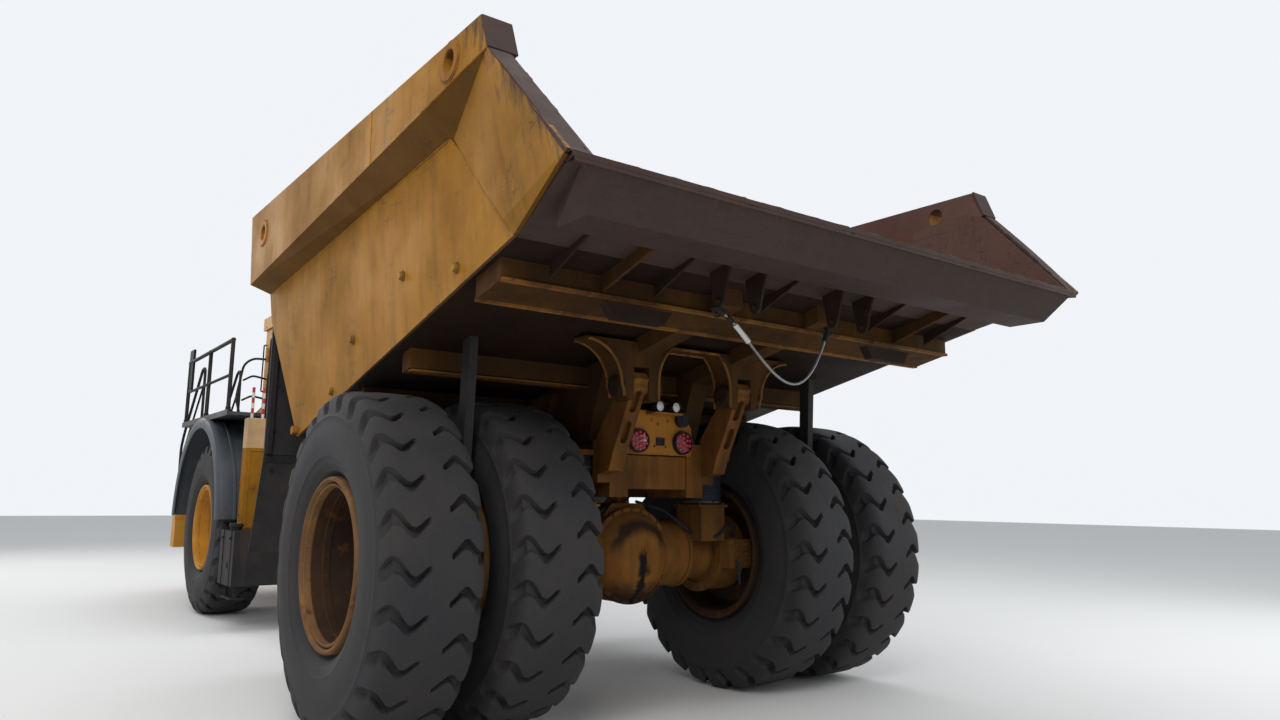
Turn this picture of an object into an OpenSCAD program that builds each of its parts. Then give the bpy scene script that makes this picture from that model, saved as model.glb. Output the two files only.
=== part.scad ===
// Articulated dump truck with two axles: a tractor unit, an articulation hitch
// that steers and rolls, and a rear unit with twin wheels and a tipping body.
// The nose points to -Y, the left-hand side is +X, and the origin is on the ground
// under the middle of the truck.

/* [Layout] */
// Distance between the front and rear axles
wheelbase = 7000; // [6800:50:7200]
// Front axle to the tip of the bumper
front_overhang = 2990; // [2940:10:3100]
// Rear axle to the end of the dump body's tail
tail_overhang = 2530; // [2500:10:2600]
// Hitch pivot ahead of the rear axle
hitch_reach = 4200; // [4150:10:4250]

/* [Wheels] */
// Outer diameter of every tyre
tyre_d = 2146; // [2100:2:2160]
// Width of one tyre
tyre_w = 650; // [600:5:670]
// Diameter of the rim flange
rim_d = 1068; // [1040:2:1090]
// Middle of a front tyre from the centreline
front_track_x = 1285; // [1270:5:1300]
// Middle of an inner rear tyre from the centreline
inner_track_x = 1155; // [1150:1:1170]
// Distance between the middles of a pair of rear tyres
dual_pitch = 812; // [800:2:820]

/* [Dump body] */
// Outer half width over the top rails
rail_x = 2220; // [2200:5:2260]
// Half width over the side walls
wall_x = 2040; // [2020:5:2060]
// Thickness of the side and front walls
wall_t = 20; // [12:1:30]
// Thickness of the floor plate
floor_t = 25; // [16:1:40]
// Height of the floor's underside above the rear axle
floor_z = 2385; // [2375:5:2400]
// Slope of the floor, rising to the rear
floor_angle = 12.6; // [12.4:0.1:12.8]
// Height of the top rail at its front end
rail_front_z = 3950; // [3900:5:4000]
// Height of the top rail at its rear end
rail_rear_z = 3900; // [3850:5:3960]

/* [Chassis] */
// Middle of a rear frame rail from the centreline
frame_x = 350; // [340:5:350]
// Middle of a body hinge's ear from the centreline
ear_mid_x = 475; // [470:1:478]
// Width of a frame rail
frame_w = 160; // [140:5:180]
// Top of the rear frame
frame_top = 1900; // [1880:5:1920]
// Height of the steering and roll axes' crossing
hitch_z = 1240; // [1220:5:1260]
// Diameter of the body's hinge pins
hinge_pin_d = 120; // [90:5:140]
// Diameter of a lifting eye in the top rails
lift_eye_d = 130; // [100:5:160]

/* [Cab] */
// Width of the cab
cab_w = 1700; // [1660:10:1720]
// Length of the cab
cab_l = 1700; // [1650:10:1750]
// Height of the cab's floor above the ground
cab_floor_z = 2250; // [2230:5:2260]
// Height of the cab's roof above the ground
cab_roof_z = 3930; // [3880:10:3940]
// Width of the hood
hood_w = 1560; // [1500:10:1620]

/* [Hidden] */
$fn = 64;

// Places along the truck, from the driving lengths
rear_y = (wheelbase + front_overhang - tail_overhang) / 2;
front_y = rear_y - wheelbase;
hitch_y = rear_y - hitch_reach;
tyre_r = tyre_d / 2;
rim_r = rim_d / 2;
outer_track_x = inner_track_x + dual_pitch;
// Clearances
fit = 0.3;
gap = 5;

// Dump body, in lengths from the rear axle
floor_rise = tan(floor_angle);
function floor_at(y) = floor_z + floor_rise * y;
front_foot = -1900;
front_knee = [-2580, 3010];
front_top_y = -2680;
wall_end = 1800;
// The side walls lean outwards: half width at a height
wall_lean = 0.085;
wall_top = 3300;
function wall_at(z) = wall_x - wall_lean * (wall_top - z);
rail_low = [[-2560, 3310], [1870, 3690]];
rail_foot = [3260, 3490];
rail_rear = 1790;
rail_ends = [[front_top_y, rail_front_z], [rail_rear, rail_rear_z], rail_low[1]];
tail_half = 2150;
tail_beam = [1940, 2374, 2758];
wing_t = 25;
// Small round pieces on a wall: [y, z, radius, how far out]
studs = [
  [1150, 2750, 24, 30], [390, 2850, 24, 30], [-520, 2570, 24, 30], [-1000, 2250, 24, 30],
  [-1880, 2010, 35, 45]
];

// Body hinge and hoist cylinders, in lengths from the rear axle
beam_front = -1500;
beam_rear = 1700;
beam_depth = 110;
hinge_y = 780;
saddle_y = [690, 850];
rib_rear = [1285, 1565];
hinge_z = 2240;
ear_x = [ear_mid_x - 60, ear_mid_x + 60];
leg_t = 80;
pin_end = 20;
hoist_x = 690;
hoist_base = [-1800, 800];
hoist_eye = [-350, 2100];
hoist_len = norm(hoist_eye - hoist_base);
hoist_angle = atan2(hoist_eye[1] - hoist_base[1], hoist_eye[0] - hoist_base[0]);
hoist_barrel_r = 80;
hoist_rod_r = 52;

// Steering cylinders, in lengths from the hitch
steer_x = 500;
steer_back = 120;
steer_base = [640, -1560];
steer_len = norm([steer_x, steer_back] - steer_base);
steer_angle = atan2(steer_x - steer_base[0], steer_back - steer_base[1]);
steer_barrel_r = 55;
steer_rod_r = 34;

// Colours
yellow = [0.78, 0.50, 0.11];
rust = [0.27, 0.15, 0.12];
black = [0.07, 0.07, 0.08];
rubber = [0.12, 0.11, 0.11];
steel = [0.45, 0.45, 0.46];
glass = [0.35, 0.42, 0.45];

// Helpers
module each_side() {
  children();
  mirror([1, 0, 0]) children();
}

// A flat shape drawn as [y, z], as a plate from x0 to x1
module side_plate(x0, x1, points) {
  translate([x0, 0, 0]) rotate([90, 0, 90]) linear_extrude(x1 - x0) polygon(points);
}

// A box by its two corners
module block(a, b) {
  translate(a) cube(b - a);
}

module x_cyl(r, x0, x1, y, z) {
  translate([x0, y, z]) rotate([0, 90, 0]) cylinder(r = r, h = x1 - x0);
}

module y_cyl(r, y0, y1, x, z) {
  translate([x, y0, z]) rotate([-90, 0, 0]) cylinder(r = r, h = y1 - y0);
}

module z_cyl(r, z0, z1, x, y) {
  translate([x, y, z0]) cylinder(r = r, h = z1 - z0);
}

// A solid of revolution about a wheel's axis: points are [radius, distance along +X]
module wheel_turned(x, y, points) {
  translate([x, y, tyre_r]) rotate([0, 90, 0]) rotate_extrude() polygon(points);
}

// Tyres: half of the section from the bead to the middle of the tread, as [radius, share of the width,
// depth of the groove between two lugs]. The bead has one station to a lug and the tread has two, and the
// grooves of one side face the lugs of the other.
tyre_lugs = 26;
bead_rows = [[rim_r - 35, 0.33], [rim_r + 8, 0.33], [tyre_r - 400, 0.498]];
tread_rows = [[tyre_r - 165, 0.485, 0], [tyre_r - 28, 0.41, 62], [tyre_r, 0.12, 0]];
station = 180 / tyre_lugs;
function bead_ring(row, side) = [
  for (k = [0:tyre_lugs - 1])
    let (a = (2 * k + 0.5) * station, r = row[0] / cos(station))
    [side * row[1] * tyre_w, r * cos(a), r * sin(a)]
];
function tread_ring(row, side) = [
  for (k = [0:2 * tyre_lugs - 1])
    let (a = (k + 0.5) * station, cut = (k + (side > 0 ? 0 : 1)) % 2)
    let (r = row[0] / cos(station / 2) - cut * row[2])
    [side * row[1] * tyre_w, r * cos(a), r * sin(a)]
];
// Two triangles between neighbouring stations of two rings of n points, that start at a and b
function band(a, b, n) = [
  for (k = [0:n - 1])
    let (m = (k + 1) % n)
    each [[a + k, b + k, b + m], [a + k, b + m, a + m]]
];
// The same between a ring of n points and one of 2 n points
function double_band(a, b, n) = [
  for (k = [0:n - 1])
    let (m = (k + 1) % n, p = 2 * k, q = (2 * k + 2) % (2 * n))
    each [[a + k, b + p, b + p + 1], [a + k, b + p + 1, a + m], [a + m, b + p + 1, b + q]]
];
function turned_round(faces) = [for (f = faces) [f[2], f[1], f[0]]];

module tyre(x, y) {
  n = tyre_lugs;
  points = concat(
    [for (r = bead_rows) each bead_ring(r, 1)], [for (r = tread_rows) each tread_ring(r, 1)],
    [for (r = bead_rows) each bead_ring(r, -1)], [for (r = tread_rows) each tread_ring(r, -1)]
  );
  half = 9 * n;
  function side_faces(o) = concat(
    band(o, o + n, n), band(o + n, o + 2 * n, n), double_band(o + 2 * n, o + 3 * n, n),
    band(o + 3 * n, o + 5 * n, 2 * n), band(o + 5 * n, o + 7 * n, 2 * n)
  );
  color(rubber) translate([x, y, tyre_r]) polyhedron(points, concat(
    side_faces(0), turned_round(side_faces(half)),
    band(7 * n, half + 7 * n, 2 * n), band(half, 0, n)
  ), convexity = 10);
}

// One rim: a barrel with two flanges, under a tyre whose middle is at distance x
bead_w = 0.66 * tyre_w;
rim_t = 30;
rim_barrel_r = rim_r - 35 - fit;
// How far a flange stands out beside the bead, and the steps of its face: [radius, inset from the face]
lip_w = 70;
lip_steps = [
  [rim_barrel_r - rim_t, 45], [rim_barrel_r - 8, 45], [rim_barrel_r - 8, 14], [rim_barrel_r + 8, 0],
  [rim_r, 0]
];
function lip_half(side) = [for (p = lip_steps) [p[0], side * (bead_w / 2 + lip_w - p[1])]];

module rim_barrel(x, y) {
  wheel_turned(x, y, concat(
    lip_half(-1), [[rim_r - 8, -bead_w / 2 - fit], [rim_barrel_r, -bead_w / 2 - fit]],
    [[rim_barrel_r, bead_w / 2 + fit], [rim_r - 8, bead_w / 2 + fit]],
    [for (i = [len(lip_steps) - 1:-1:0]) lip_half(1)[i]]
  ));
}

// Spindles of the axles, on which the hubs turn
spindle_r = 150;
front_spindle = [front_track_x - 260, front_track_x + 40];
rear_spindle = [inner_track_x - 120, inner_track_x + 120];

module rim_front(side) {
  color(yellow) mirror([side < 0 ? 1 : 0, 0, 0]) difference() {
    union() {
      rim_barrel(front_track_x, front_y);
      // wheel disc and planetary hub
      wheel_turned(front_track_x, front_y, [
        [0, -160], [300, -160], [300, -110], [rim_barrel_r - rim_t + 1, -60],
        [rim_barrel_r - rim_t + 1, -20],
        [320, -60], [270, 60], [240, 130], [0, 150]
      ]);
    }
    x_cyl(spindle_r + fit, front_spindle[0] - 1, front_spindle[1] + gap, front_y, tyre_r);
  }
}

module rim_rear(side) {
  color(yellow) mirror([side < 0 ? 1 : 0, 0, 0]) difference() {
    union() {
      rim_barrel(inner_track_x, rear_y);
      rim_barrel(outer_track_x, rear_y);
      // hub drum that both rims are clamped to
      wheel_turned(inner_track_x, rear_y, [
        [0, -80], [400, -80], [400, -30], [rim_barrel_r - rim_t + 1, -30], [rim_barrel_r - rim_t + 1, 30],
        [400, 30], [400, dual_pitch - 150], [rim_barrel_r - rim_t + 1, dual_pitch - 150],
        [rim_barrel_r - rim_t + 1, dual_pitch - 110], [360, dual_pitch - 110], [300, dual_pitch - 95],
        [230, dual_pitch - 50], [0, dual_pitch - 40]
      ]);
    }
    x_cyl(spindle_r + fit, rear_spindle[0] - 1, rear_spindle[1] + gap, rear_y, tyre_r);
  }
}

module tyre_front_left() { tyre(front_track_x, front_y); }
module tyre_front_right() { tyre(-front_track_x, front_y); }
module rim_front_left() { rim_front(1); }
module rim_front_right() { rim_front(-1); }
module tyres_rear_left() { for (x = [inner_track_x, outer_track_x]) tyre(x, rear_y); }
module tyres_rear_right() { for (x = [inner_track_x, outer_track_x]) tyre(-x, rear_y); }
module rim_rear_left() { rim_rear(1); }
module rim_rear_right() { rim_rear(-1); }

// Rear unit

neck_y0 = hitch_y + 330;
neck_y1 = hitch_y + 830;
neck_r = 300;
spigot_r = 200;
rail_bottom = 1500;
strut_r = 150;
strut_at = [615, rear_y + 200];
strut_z = [1450, 1790];
beam_x = [340, 500];
rail_end = 430;
// Side outline of a hinge ear, in lengths from the rear axle: its sloping rear edge is the third side
ear_outline = [
  [380, 1650], [560, 1680], [610, 1800], [hinge_y + 75, hinge_z + 50], [hinge_y + 45, hinge_z + 95],
  [hinge_y - 55, hinge_z + 100], [hinge_y - 110, hinge_z], [430, 1950], [380, 1850]
];
slot_r = 28;
slot_l = 110;
slot_at = [0.28, 0.7];

module rear_chassis() {
  side_x = frame_x + frame_w / 2;
  pin_x = [ear_x[0] - gap - leg_t - pin_end, ear_x[1] + gap + leg_t + pin_end];
  color(yellow) difference() {
    union() {
      // bearing housing for the roll axis, and the neck behind it
      y_cyl(neck_r, neck_y0, neck_y1, 0, hitch_z);
      each_side() {
        side_plate(frame_x - frame_w / 2, frame_x + frame_w / 2, [
          [neck_y1 + 250, 1080], [neck_y1 + 400, 1080], [rear_y - 1500, rail_bottom],
          [rear_y + rail_end, rail_bottom], [rear_y + rail_end, frame_top], [rear_y - 2450, frame_top],
          [neck_y1 + 250, 1500]
        ]);
        // slanting side of the neck
        hull() {
          block([frame_x - frame_w / 2, neck_y1 + 250, 1080], [frame_x + frame_w / 2, neck_y1 + 260, 1500]);
          block([140, neck_y0 + 260, hitch_z - 200], [240, neck_y1, hitch_z + 200]);
        }
        // hinge ear with its gusset, and pin
        block([frame_x, rear_y + 365, rail_bottom + 100], [ear_x[1], rear_y + rail_end, frame_top]);
        side_plate(ear_x[0], ear_x[1], from_axle(ear_outline));
        x_cyl(hinge_pin_d / 2, pin_x[0], pin_x[1], rear_y + hinge_y, hinge_z);
        // lugs and pins of the hoist cylinders
        side_plate(side_x - 1, side_x + 60, from_axle([
          [hoist_base[0] - 90, hoist_base[1] - 90], [hoist_base[0] + 90, hoist_base[1] - 90],
          [hoist_base[0] + 260, rail_bottom + 100], [hoist_base[0] - 200, rail_bottom + 100]
        ]));
        x_cyl(45, side_x + 1, hoist_x + 75, rear_y + hoist_base[0], hoist_base[1]);
        x_cyl(75, side_x + 1, hoist_x - hoist_barrel_r - gap, rear_y + hoist_base[0], hoist_base[1]);
        // seats above the suspension struts
        block([side_x - 1, rear_y + 30, strut_z[1]], [strut_at[0] + 155, rear_y + 370, strut_z[1] + 40]);
      }
      // cross members
      for (y = [rear_y - 2350, rear_y - 1200, rear_y + 300])
        block([-frame_x, y, rail_bottom + 60], [frame_x, y + 120, frame_top - 100]);
    }
    y_cyl(spigot_r + fit, neck_y0 - 1, neck_y1 - 60, 0, hitch_z);
    // long slots in the ears' sloping rear edges
    each_side() for (t = slot_at) ear_slot(t);
  }
}

module ear_slot(t) {
  low = ear_outline[2];
  high = ear_outline[3];
  place = low + (high - low) * t;
  turn = atan2(high[1] - low[1], high[0] - low[0]);
  translate([ear_mid_x, rear_y + place[0], place[1]])
    rotate([turn, 0, 0]) translate([0, 0, -60]) linear_extrude(100) {
      square([2 * slot_r, slot_l], center = true);
      for (y = [-slot_l / 2, slot_l / 2]) translate([0, y]) circle(r = slot_r);
    }
}

panel_y = rear_y + rail_end + fit;
module tail_panel() {
  color(yellow) {
    translate([0, panel_y + 20, 0]) rotate([90, 0, 0]) linear_extrude(20) difference() {
      polygon([[-300, 1810], [300, 1810], [300, 2010], [230, 2130], [-230, 2130], [-300, 2010]]);
      for (s = [-1, 1]) translate([s * 205, 1905]) circle(r = lamp_r + fit);
    }
    // shelf of the work lamps
    block([-130, panel_y + 1, 2100], [130, panel_y + 130, 2112]);
  }
}
lamp_r = 88;
work_lamp_r = 42;

module tail_lamps() {
  color([0.35, 0.08, 0.08]) {
    for (s = [-1, 1]) y_cyl(lamp_r, panel_y, panel_y + 50, s * 205, 1905);
    for (s = [-1, 1]) y_cyl(work_lamp_r, panel_y + 60, panel_y + 125, s * 75, 2112 + fit + work_lamp_r);
    // horn on the panel's shoulder
    y_cyl(58, panel_y + 20 + fit, panel_y + 70, -190, 2075);
  }
}

module rear_axle() {
  color(yellow) {
    // banjo housing, with the bowl behind and the pinion nose ahead
    y_cyl(345, rear_y - 190, rear_y + 190, 60, tyre_r);
    translate([60, rear_y + 190, tyre_r]) rotate([-90, 0, 0]) cylinder(r1 = 250, r2 = 150, h = 130);
    translate([60, rear_y - 189, tyre_r]) rotate([90, 0, 0]) cylinder(r1 = 260, r2 = 120, h = 380);
    x_cyl(205, -760, 760, rear_y, tyre_r);
    each_side() {
      x_cyl(250, 200, 470, rear_y, tyre_r);
      x_cyl(300, 730, rear_spindle[0] - 40, rear_y, tyre_r);
      // brake callipers on the discs' edges
      block([735, rear_y + 200, tyre_r - 110], [rear_spindle[0] - 60, rear_y + 395, tyre_r + 110]);
      x_cyl(spindle_r, 700, rear_spindle[1], rear_y, tyre_r);
      // seats of the struts
      block([strut_at[0] - 130, rear_y + 50, tyre_r + 100], [strut_at[0] + 110, rear_y + 350, strut_z[0]]);
    }
  }
}

module rear_struts() {
  color(black) each_side() {
    z_cyl(strut_r - 12, strut_z[0], strut_z[1], strut_at[0], strut_at[1]);
    z_cyl(strut_r, strut_z[1] - 110, strut_z[1] - 25, strut_at[0], strut_at[1]);
    z_cyl(strut_r, strut_z[0] + 20, strut_z[0] + 50, strut_at[0], strut_at[1]);
  }
}

module propshaft() {
  color(steel) y_cyl(70, neck_y1 + fit, rear_y - 569 - fit, 60, tyre_r + 60);
}

guard_y = rear_y - 2660;
guard_x = [560, 1975];
guard_z = [1000, 1960, 3000];
module rear_guards() {
  color(black) each_side() {
    // stiff upper plate on two arms, and the flap that hangs under it
    block([guard_x[0], guard_y - 30, guard_z[1] - 120], [guard_x[1], guard_y, guard_z[2]]);
    translate([0, guard_y - 6, 0]) rotate([90, 0, 0]) linear_extrude(12) polygon([
      [guard_x[0], guard_z[0]], [guard_x[1] + 70, guard_z[0]], [guard_x[1], guard_z[1] - 119],
      [guard_x[0], guard_z[1] - 119]
    ]);
    for (z = [1590, 1720])
      block([frame_x + frame_w / 2 + fit, guard_y - 1, z], [guard_x[1] - 300, guard_y + 60, z + 80]);
    for (x = [guard_x[0] + 200, guard_x[1] - 400])
      block([x, guard_y - 1, 1591], [x + 80, guard_y + 59, guard_z[2] - 100]);
  }
}

// Dump body

// Cross-section of the body, inset from the outsides of the leaning walls
module body_section(inset, z0, z1) {
  translate([0, rear_y + 3000, 0]) rotate([90, 0, 0]) linear_extrude(6500) polygon([
    [-wall_at(z0) + inset, z0], [wall_at(z0) - inset, z0],
    [wall_at(z1) - inset, z1], [-wall_at(z1) + inset, z1]
  ]);
}

// Points along the truck are given from the rear axle
function from_axle(points) = [for (p = points) [p[0] + rear_y, p[1]]];

// The rear wing: corners of its outside from the rail down to the floor, as [x, y, z]
function wing_points() = [
  [wall_x, 1120, 3480], [rail_x, 1080, rail_low[1][1] - 70], [rail_x, rail_low[1][0], rail_low[1][1]],
  [tail_half, tail_overhang, floor_at(tail_overhang) + floor_t],
  [wall_at(floor_at(wall_end)), wall_end + 1, floor_at(wall_end) + 4], [wall_x - 6, 1750, 2875]
];
wing_faces = [[0, 1, 2], [0, 2, 5], [5, 2, 3], [5, 3, 4]];

module wing() {
  outer = [for (p = wing_points()) [p[0], rear_y + p[1], p[2]]];
  inner = [for (p = outer) p - [wing_t, 0, 0]];
  n = len(outer);
  polyhedron(concat(outer, inner), concat(
    wing_faces,
    [for (f = wing_faces) [f[2] + n, f[1] + n, f[0] + n]],
    [for (i = [0:n - 1]) [(i + 1) % n, i, i + n, (i + 1) % n + n]]
  ), convexity = 4);
}

module body_floor() {
  end = wall_end - 15;
  bend = front_foot + floor_t + 5;
  top = rail_front_z - 10;
  color(rust) intersection() {
    side_plate(-rail_x, rail_x, from_axle([
      [front_foot, floor_at(front_foot)], [end, floor_at(end)], [end, floor_at(end) + floor_t],
      [bend, floor_at(bend) + floor_t], front_knee + [floor_t, 0], [front_top_y + floor_t, top],
      [front_top_y, top], front_knee
    ]));
    body_section(wall_t + fit, 1500, 4200);
  }
}

module body_sides() {
  color(yellow) difference() {
    union() {
      // leaning walls
      difference() {
        intersection() {
          side_plate(-rail_x, rail_x, from_axle([
            [front_foot, floor_at(front_foot)], [wall_end, floor_at(wall_end)],
            [wall_end - 40, floor_at(wall_end) + 60], [1130, 3500], [1100, 3620], [-2645, 3620], front_knee
          ]));
          body_section(0, 1500, 4200);
        }
        body_section(wall_t, 1400, 4300);
      }
      each_side() {
        // top rail, deeper at the front
        difference() {
          hull() {
            for (p = concat(rail_ends, [rail_low[0]]))
              block([rail_x - 1, rear_y + p[0] - 1, p[1] - 1], [rail_x, rear_y + p[0], p[1]]);
            for (p = concat(rail_ends, [[-2607, rail_foot[0]], [1130, rail_foot[1]]]))
              block([wall_x - 5, rear_y + p[0] - 1, p[1] - 1], [wall_x - 4, rear_y + p[0], p[1]]);
          }
          body_section(wall_t, 1400, 4300);
        }
        // wing that flares out to the tail
        wing();
        // studs on the wall and lugs at its front corners
        for (p = studs)
          x_cyl(p[2], wall_at(p[1]) - 15, wall_at(p[1]) + p[3], rear_y + p[0], p[1]);
      }
    }
    for (p = [[-2220, 3700], [1440, 3785]])
      x_cyl(lift_eye_d / 2, -rail_x - 1, rail_x + 1, rear_y + p[0], p[1]);
  }
}

module body_tail() {
  edge = wing_t + 4;
  half = wall_at(floor_at(wall_end)) - edge;
  y0 = rear_y + wall_end - 15;
  z0 = floor_at(wall_end - 15);
  y1 = rear_y + tail_overhang;
  z1 = floor_at(tail_overhang);
  color(rust) {
    // flared end of the floor
    hull() {
      block([-half, y0 + fit, z0], [half, y0 + 1, z0 + floor_t]);
      block([-tail_half + edge, y1 - 1, z1], [tail_half - edge, y1, z1 + floor_t]);
    }
    // tail beam under it
    beam_y = rear_y + tail_beam[1];
    beam_z = tail_beam[2];
    hull() {
      block([-tail_beam[0], beam_y - 1, beam_z], [tail_beam[0], beam_y, beam_z + 1]);
      block([-tail_beam[0], beam_y - 260, beam_z],
        [tail_beam[0], beam_y - 259, floor_at(tail_beam[1] - 259) + 5]);
      block([-tail_half + 90, y1 - 2, z1 + 2], [tail_half - 90, y1 - 1, z1 + 4]);
    }
  }
}

module body_frame() {
  color(yellow) difference() {
    union() {
      each_side() {
        side_plate(beam_x[0], beam_x[1], from_axle([
          [beam_front, frame_top + fit], [250, frame_top + fit], [420, floor_at(420) - beam_depth],
          [beam_rear, floor_at(beam_rear) - beam_depth], [beam_rear, floor_at(beam_rear) - fit],
          [beam_front, floor_at(beam_front) - fit]
        ]));
        // ears for the hoist cylinders
        side_plate(beam_x[1] - 1, beam_x[1] + 60, from_axle([
          [hoist_eye[0] - 80, hoist_eye[1] - 80], [hoist_eye[0] + 80, hoist_eye[1] - 80],
          [hoist_eye[0] + 200, floor_at(hoist_eye[0]) - 30],
          [hoist_eye[0] - 200, floor_at(hoist_eye[0]) - 60]
        ]));
        // fore-and-aft stiffener behind the last cross beam
        side_plate(1290, 1310, from_axle([
          [rib_rear[1] - 1, floor_at(rib_rear[1]) - 100], [2050, floor_at(2050) - 60],
          [2050, floor_at(2050) - 3], [rib_rear[1] - 1, floor_at(rib_rear[1]) - 3]
        ]));
      }
      saddle();
      // cross beams: the deep one behind the hinge, and lighter ones ahead
      cross_beam(rib_rear[0], rib_rear[1], 1940, 120);
      for (y = [-1400, -700, 100]) cross_beam(y, y + 120, 1860, 130);
    }
    each_side() {
      x_cyl(hinge_pin_d / 2 + fit, 200, 800, rear_y + hinge_y, hinge_z);
      // slot for the chassis ear
      block([ear_x[0] - gap, rear_y + saddle_y[0] - 200, hinge_z - 200],
        [ear_x[1] + gap, rear_y + saddle_y[1] + 200, hinge_z + 130]);
    }
  }
}

module cross_beam(y0, y1, half, depth) {
  side_plate(-half, half, from_axle([
    [y0, floor_at(y0) - depth], [y1, floor_at(y1) - depth],
    [y1, floor_at(y1) - fit], [y0, floor_at(y0) - fit]
  ]));
}

// Arched casting over the chassis, whose legs hold the hinge pins
module saddle() {
  inner = ear_x[0] - gap - leg_t;
  outer = ear_x[1] + gap + leg_t;
  foot = hinge_z - 95;
  top = floor_at(saddle_y[0]) - fit;
  flare = top - hinge_z - 15;
  arch = 250;
  depth = saddle_y[1] - saddle_y[0];
  translate([0, rear_y + saddle_y[1], 0]) rotate([90, 0, 0]) linear_extrude(depth) difference() {
    polygon([
      [-outer, foot + 60], [-outer + 40, foot], [outer - 40, foot], [outer, foot + 60],
      [outer + 20, hinge_z], [outer + 20 + flare, hinge_z], [outer + 20 + flare, top],
      [-outer - 20 - flare, top], [-outer - 20 - flare, hinge_z], [-outer - 20, hinge_z]
    ]);
    // hollow outer sides of the legs
    for (s = [-1, 1]) translate([s * (outer + 20 + flare), hinge_z]) circle(r = flare);
    // the arch between the legs
    translate([-inner, foot - 1]) square([2 * inner, hinge_z + 40 - foot]);
    intersection() {
      translate([0, hinge_z + 38]) circle(r = inner);
      translate([-inner, hinge_z + 38]) square([2 * inner, arch]);
    }
  }
}

module rock_ejectors() {
  middle = (inner_track_x + outer_track_x) / 2;
  color(steel) each_side() side_plate(middle - 30, middle + 30, from_axle([
    [380, 1500], [470, 1500], [520, floor_at(520) - fit], [420, floor_at(420) - fit]
  ]));
}

// Cylinders: each is drawn along +X from its base pin, then turned into place
module hoist_place(side) {
  mirror([side < 0 ? 1 : 0, 0, 0]) translate([hoist_x, rear_y + hoist_base[0], hoist_base[1]])
    rotate([0, 0, 90]) rotate([0, -hoist_angle, 0]) children();
}

module hoist_barrel(side) {
  color(yellow) hoist_place(side) difference() {
    union() {
      rotate([90, 0, 0]) cylinder(r = 85, h = 120, center = true);
      rotate([0, 90, 0]) cylinder(r = hoist_barrel_r, h = hoist_len - 130);
    }
    rotate([90, 0, 0]) cylinder(r = 45 + fit, h = 300, center = true);
    translate([150, 0, 0]) rotate([0, 90, 0]) cylinder(r = hoist_rod_r + fit, h = hoist_len);
  }
}

module hoist_rod(side) {
  color(steel) hoist_place(side) difference() {
    union() {
      translate([170, 0, 0]) rotate([0, 90, 0]) cylinder(r = hoist_rod_r, h = hoist_len - 200);
      translate([hoist_len, 0, 0]) rotate([90, 0, 0]) cylinder(r = 65, h = 90, center = true);
      // the pin stays in the eye, and ends just short of the body's ear
      translate([hoist_len, 30, 0]) rotate([90, 0, 0]) cylinder(r = 36, h = hoist_x + 30 - beam_x[1] - 62);
    }
  }
}

module hoist_barrel_left() { hoist_barrel(1); }
module hoist_barrel_right() { hoist_barrel(-1); }
module hoist_rod_left() { hoist_rod(1); }
module hoist_rod_right() { hoist_rod(-1); }

// A grey cable that hangs between two eyes under the body, as its middle line
cable_ends = [500, -500];
cable_y = 1640;
cable_drop = 400;
cable_r = 9;
cable_top = floor_at(cable_y) - beam_depth - cable_r - fit;
cable_skew = 1.6;
cable_sides = 8;
cable_rings = 24;
function cable_at(t) = [
  cable_ends[0] + (cable_ends[1] - cable_ends[0]) * t, rear_y + cable_y,
  cable_top - 4 * cable_drop * pow(t, cable_skew) * (1 - pow(t, cable_skew))
];
function cable_way(t) = cable_at(min(t + 0.02, 1)) - cable_at(max(t - 0.02, 0));
function cable_slope(t) = atan2(cable_way(t)[2], cable_way(t)[0]);
function cable_ring(t) = [for (k = [0:cable_sides - 1]) let (a = 360 * k / cable_sides)
  cable_at(t) + cable_r * [-sin(cable_slope(t)) * cos(a), sin(a), cos(cable_slope(t)) * cos(a)]];

module safety_cable() {
  points = [for (i = [0:cable_rings]) each cable_ring(i / cable_rings)];
  n = cable_sides;
  color(steel) polyhedron(points, concat(
    [[for (k = [0:n - 1]) k]],
    [
      for (i = [0:cable_rings - 1]) for (k = [0:n - 1])
        let (m = (k + 1) % n)
        [i * n + k, (i + 1) * n + k, (i + 1) * n + m, i * n + m]
    ],
    [[for (k = [n - 1:-1:0]) cable_rings * n + k]]
  ), convexity = 4);
}

// Hitch

ear_z = [780, 1700];
ear_t_front = 95;
hitch_pin_r = 80;
arm_z = [hitch_z - 95, hitch_z + 55];
arm_t = 40;

module hitch() {
  color(yellow) difference() {
    union() {
      z_cyl(170, ear_z[0] + ear_t_front + gap, ear_z[1] - ear_t_front - gap, 0, hitch_y);
      y_cyl(spigot_r, hitch_y, neck_y1 - 70, 0, hitch_z);
      y_cyl(neck_r, hitch_y + 220, neck_y0 - gap, 0, hitch_z);
      // steering arms, two on each side around the rod's eye
      each_side() for (z = arm_z)
        hull() {
          block([100, hitch_y + 40, z], [110, hitch_y + 200, z + arm_t]);
          z_cyl(65, z, z + arm_t, steer_x, hitch_y + steer_back);
        }
    }
    z_cyl(hitch_pin_r + fit, ear_z[0], ear_z[1], 0, hitch_y);
  }
}

module steer_place(side) {
  mirror([side < 0 ? 1 : 0, 0, 0]) translate([steer_base[0], hitch_y + steer_base[1], hitch_z])
    rotate([0, 0, -steer_angle]) rotate([-90, 0, 0]) children();
}

module steer_barrel(side) {
  color(yellow) steer_place(side) difference() {
    union() {
      rotate([90, 0, 0]) cylinder(r = 62, h = 80, center = true);
      cylinder(r = steer_barrel_r, h = 1140);
    }
    rotate([90, 0, 0]) cylinder(r = 35 + fit, h = 300, center = true);
    translate([0, 0, 120]) cylinder(r = steer_rod_r + fit, h = steer_len);
  }
}

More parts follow.
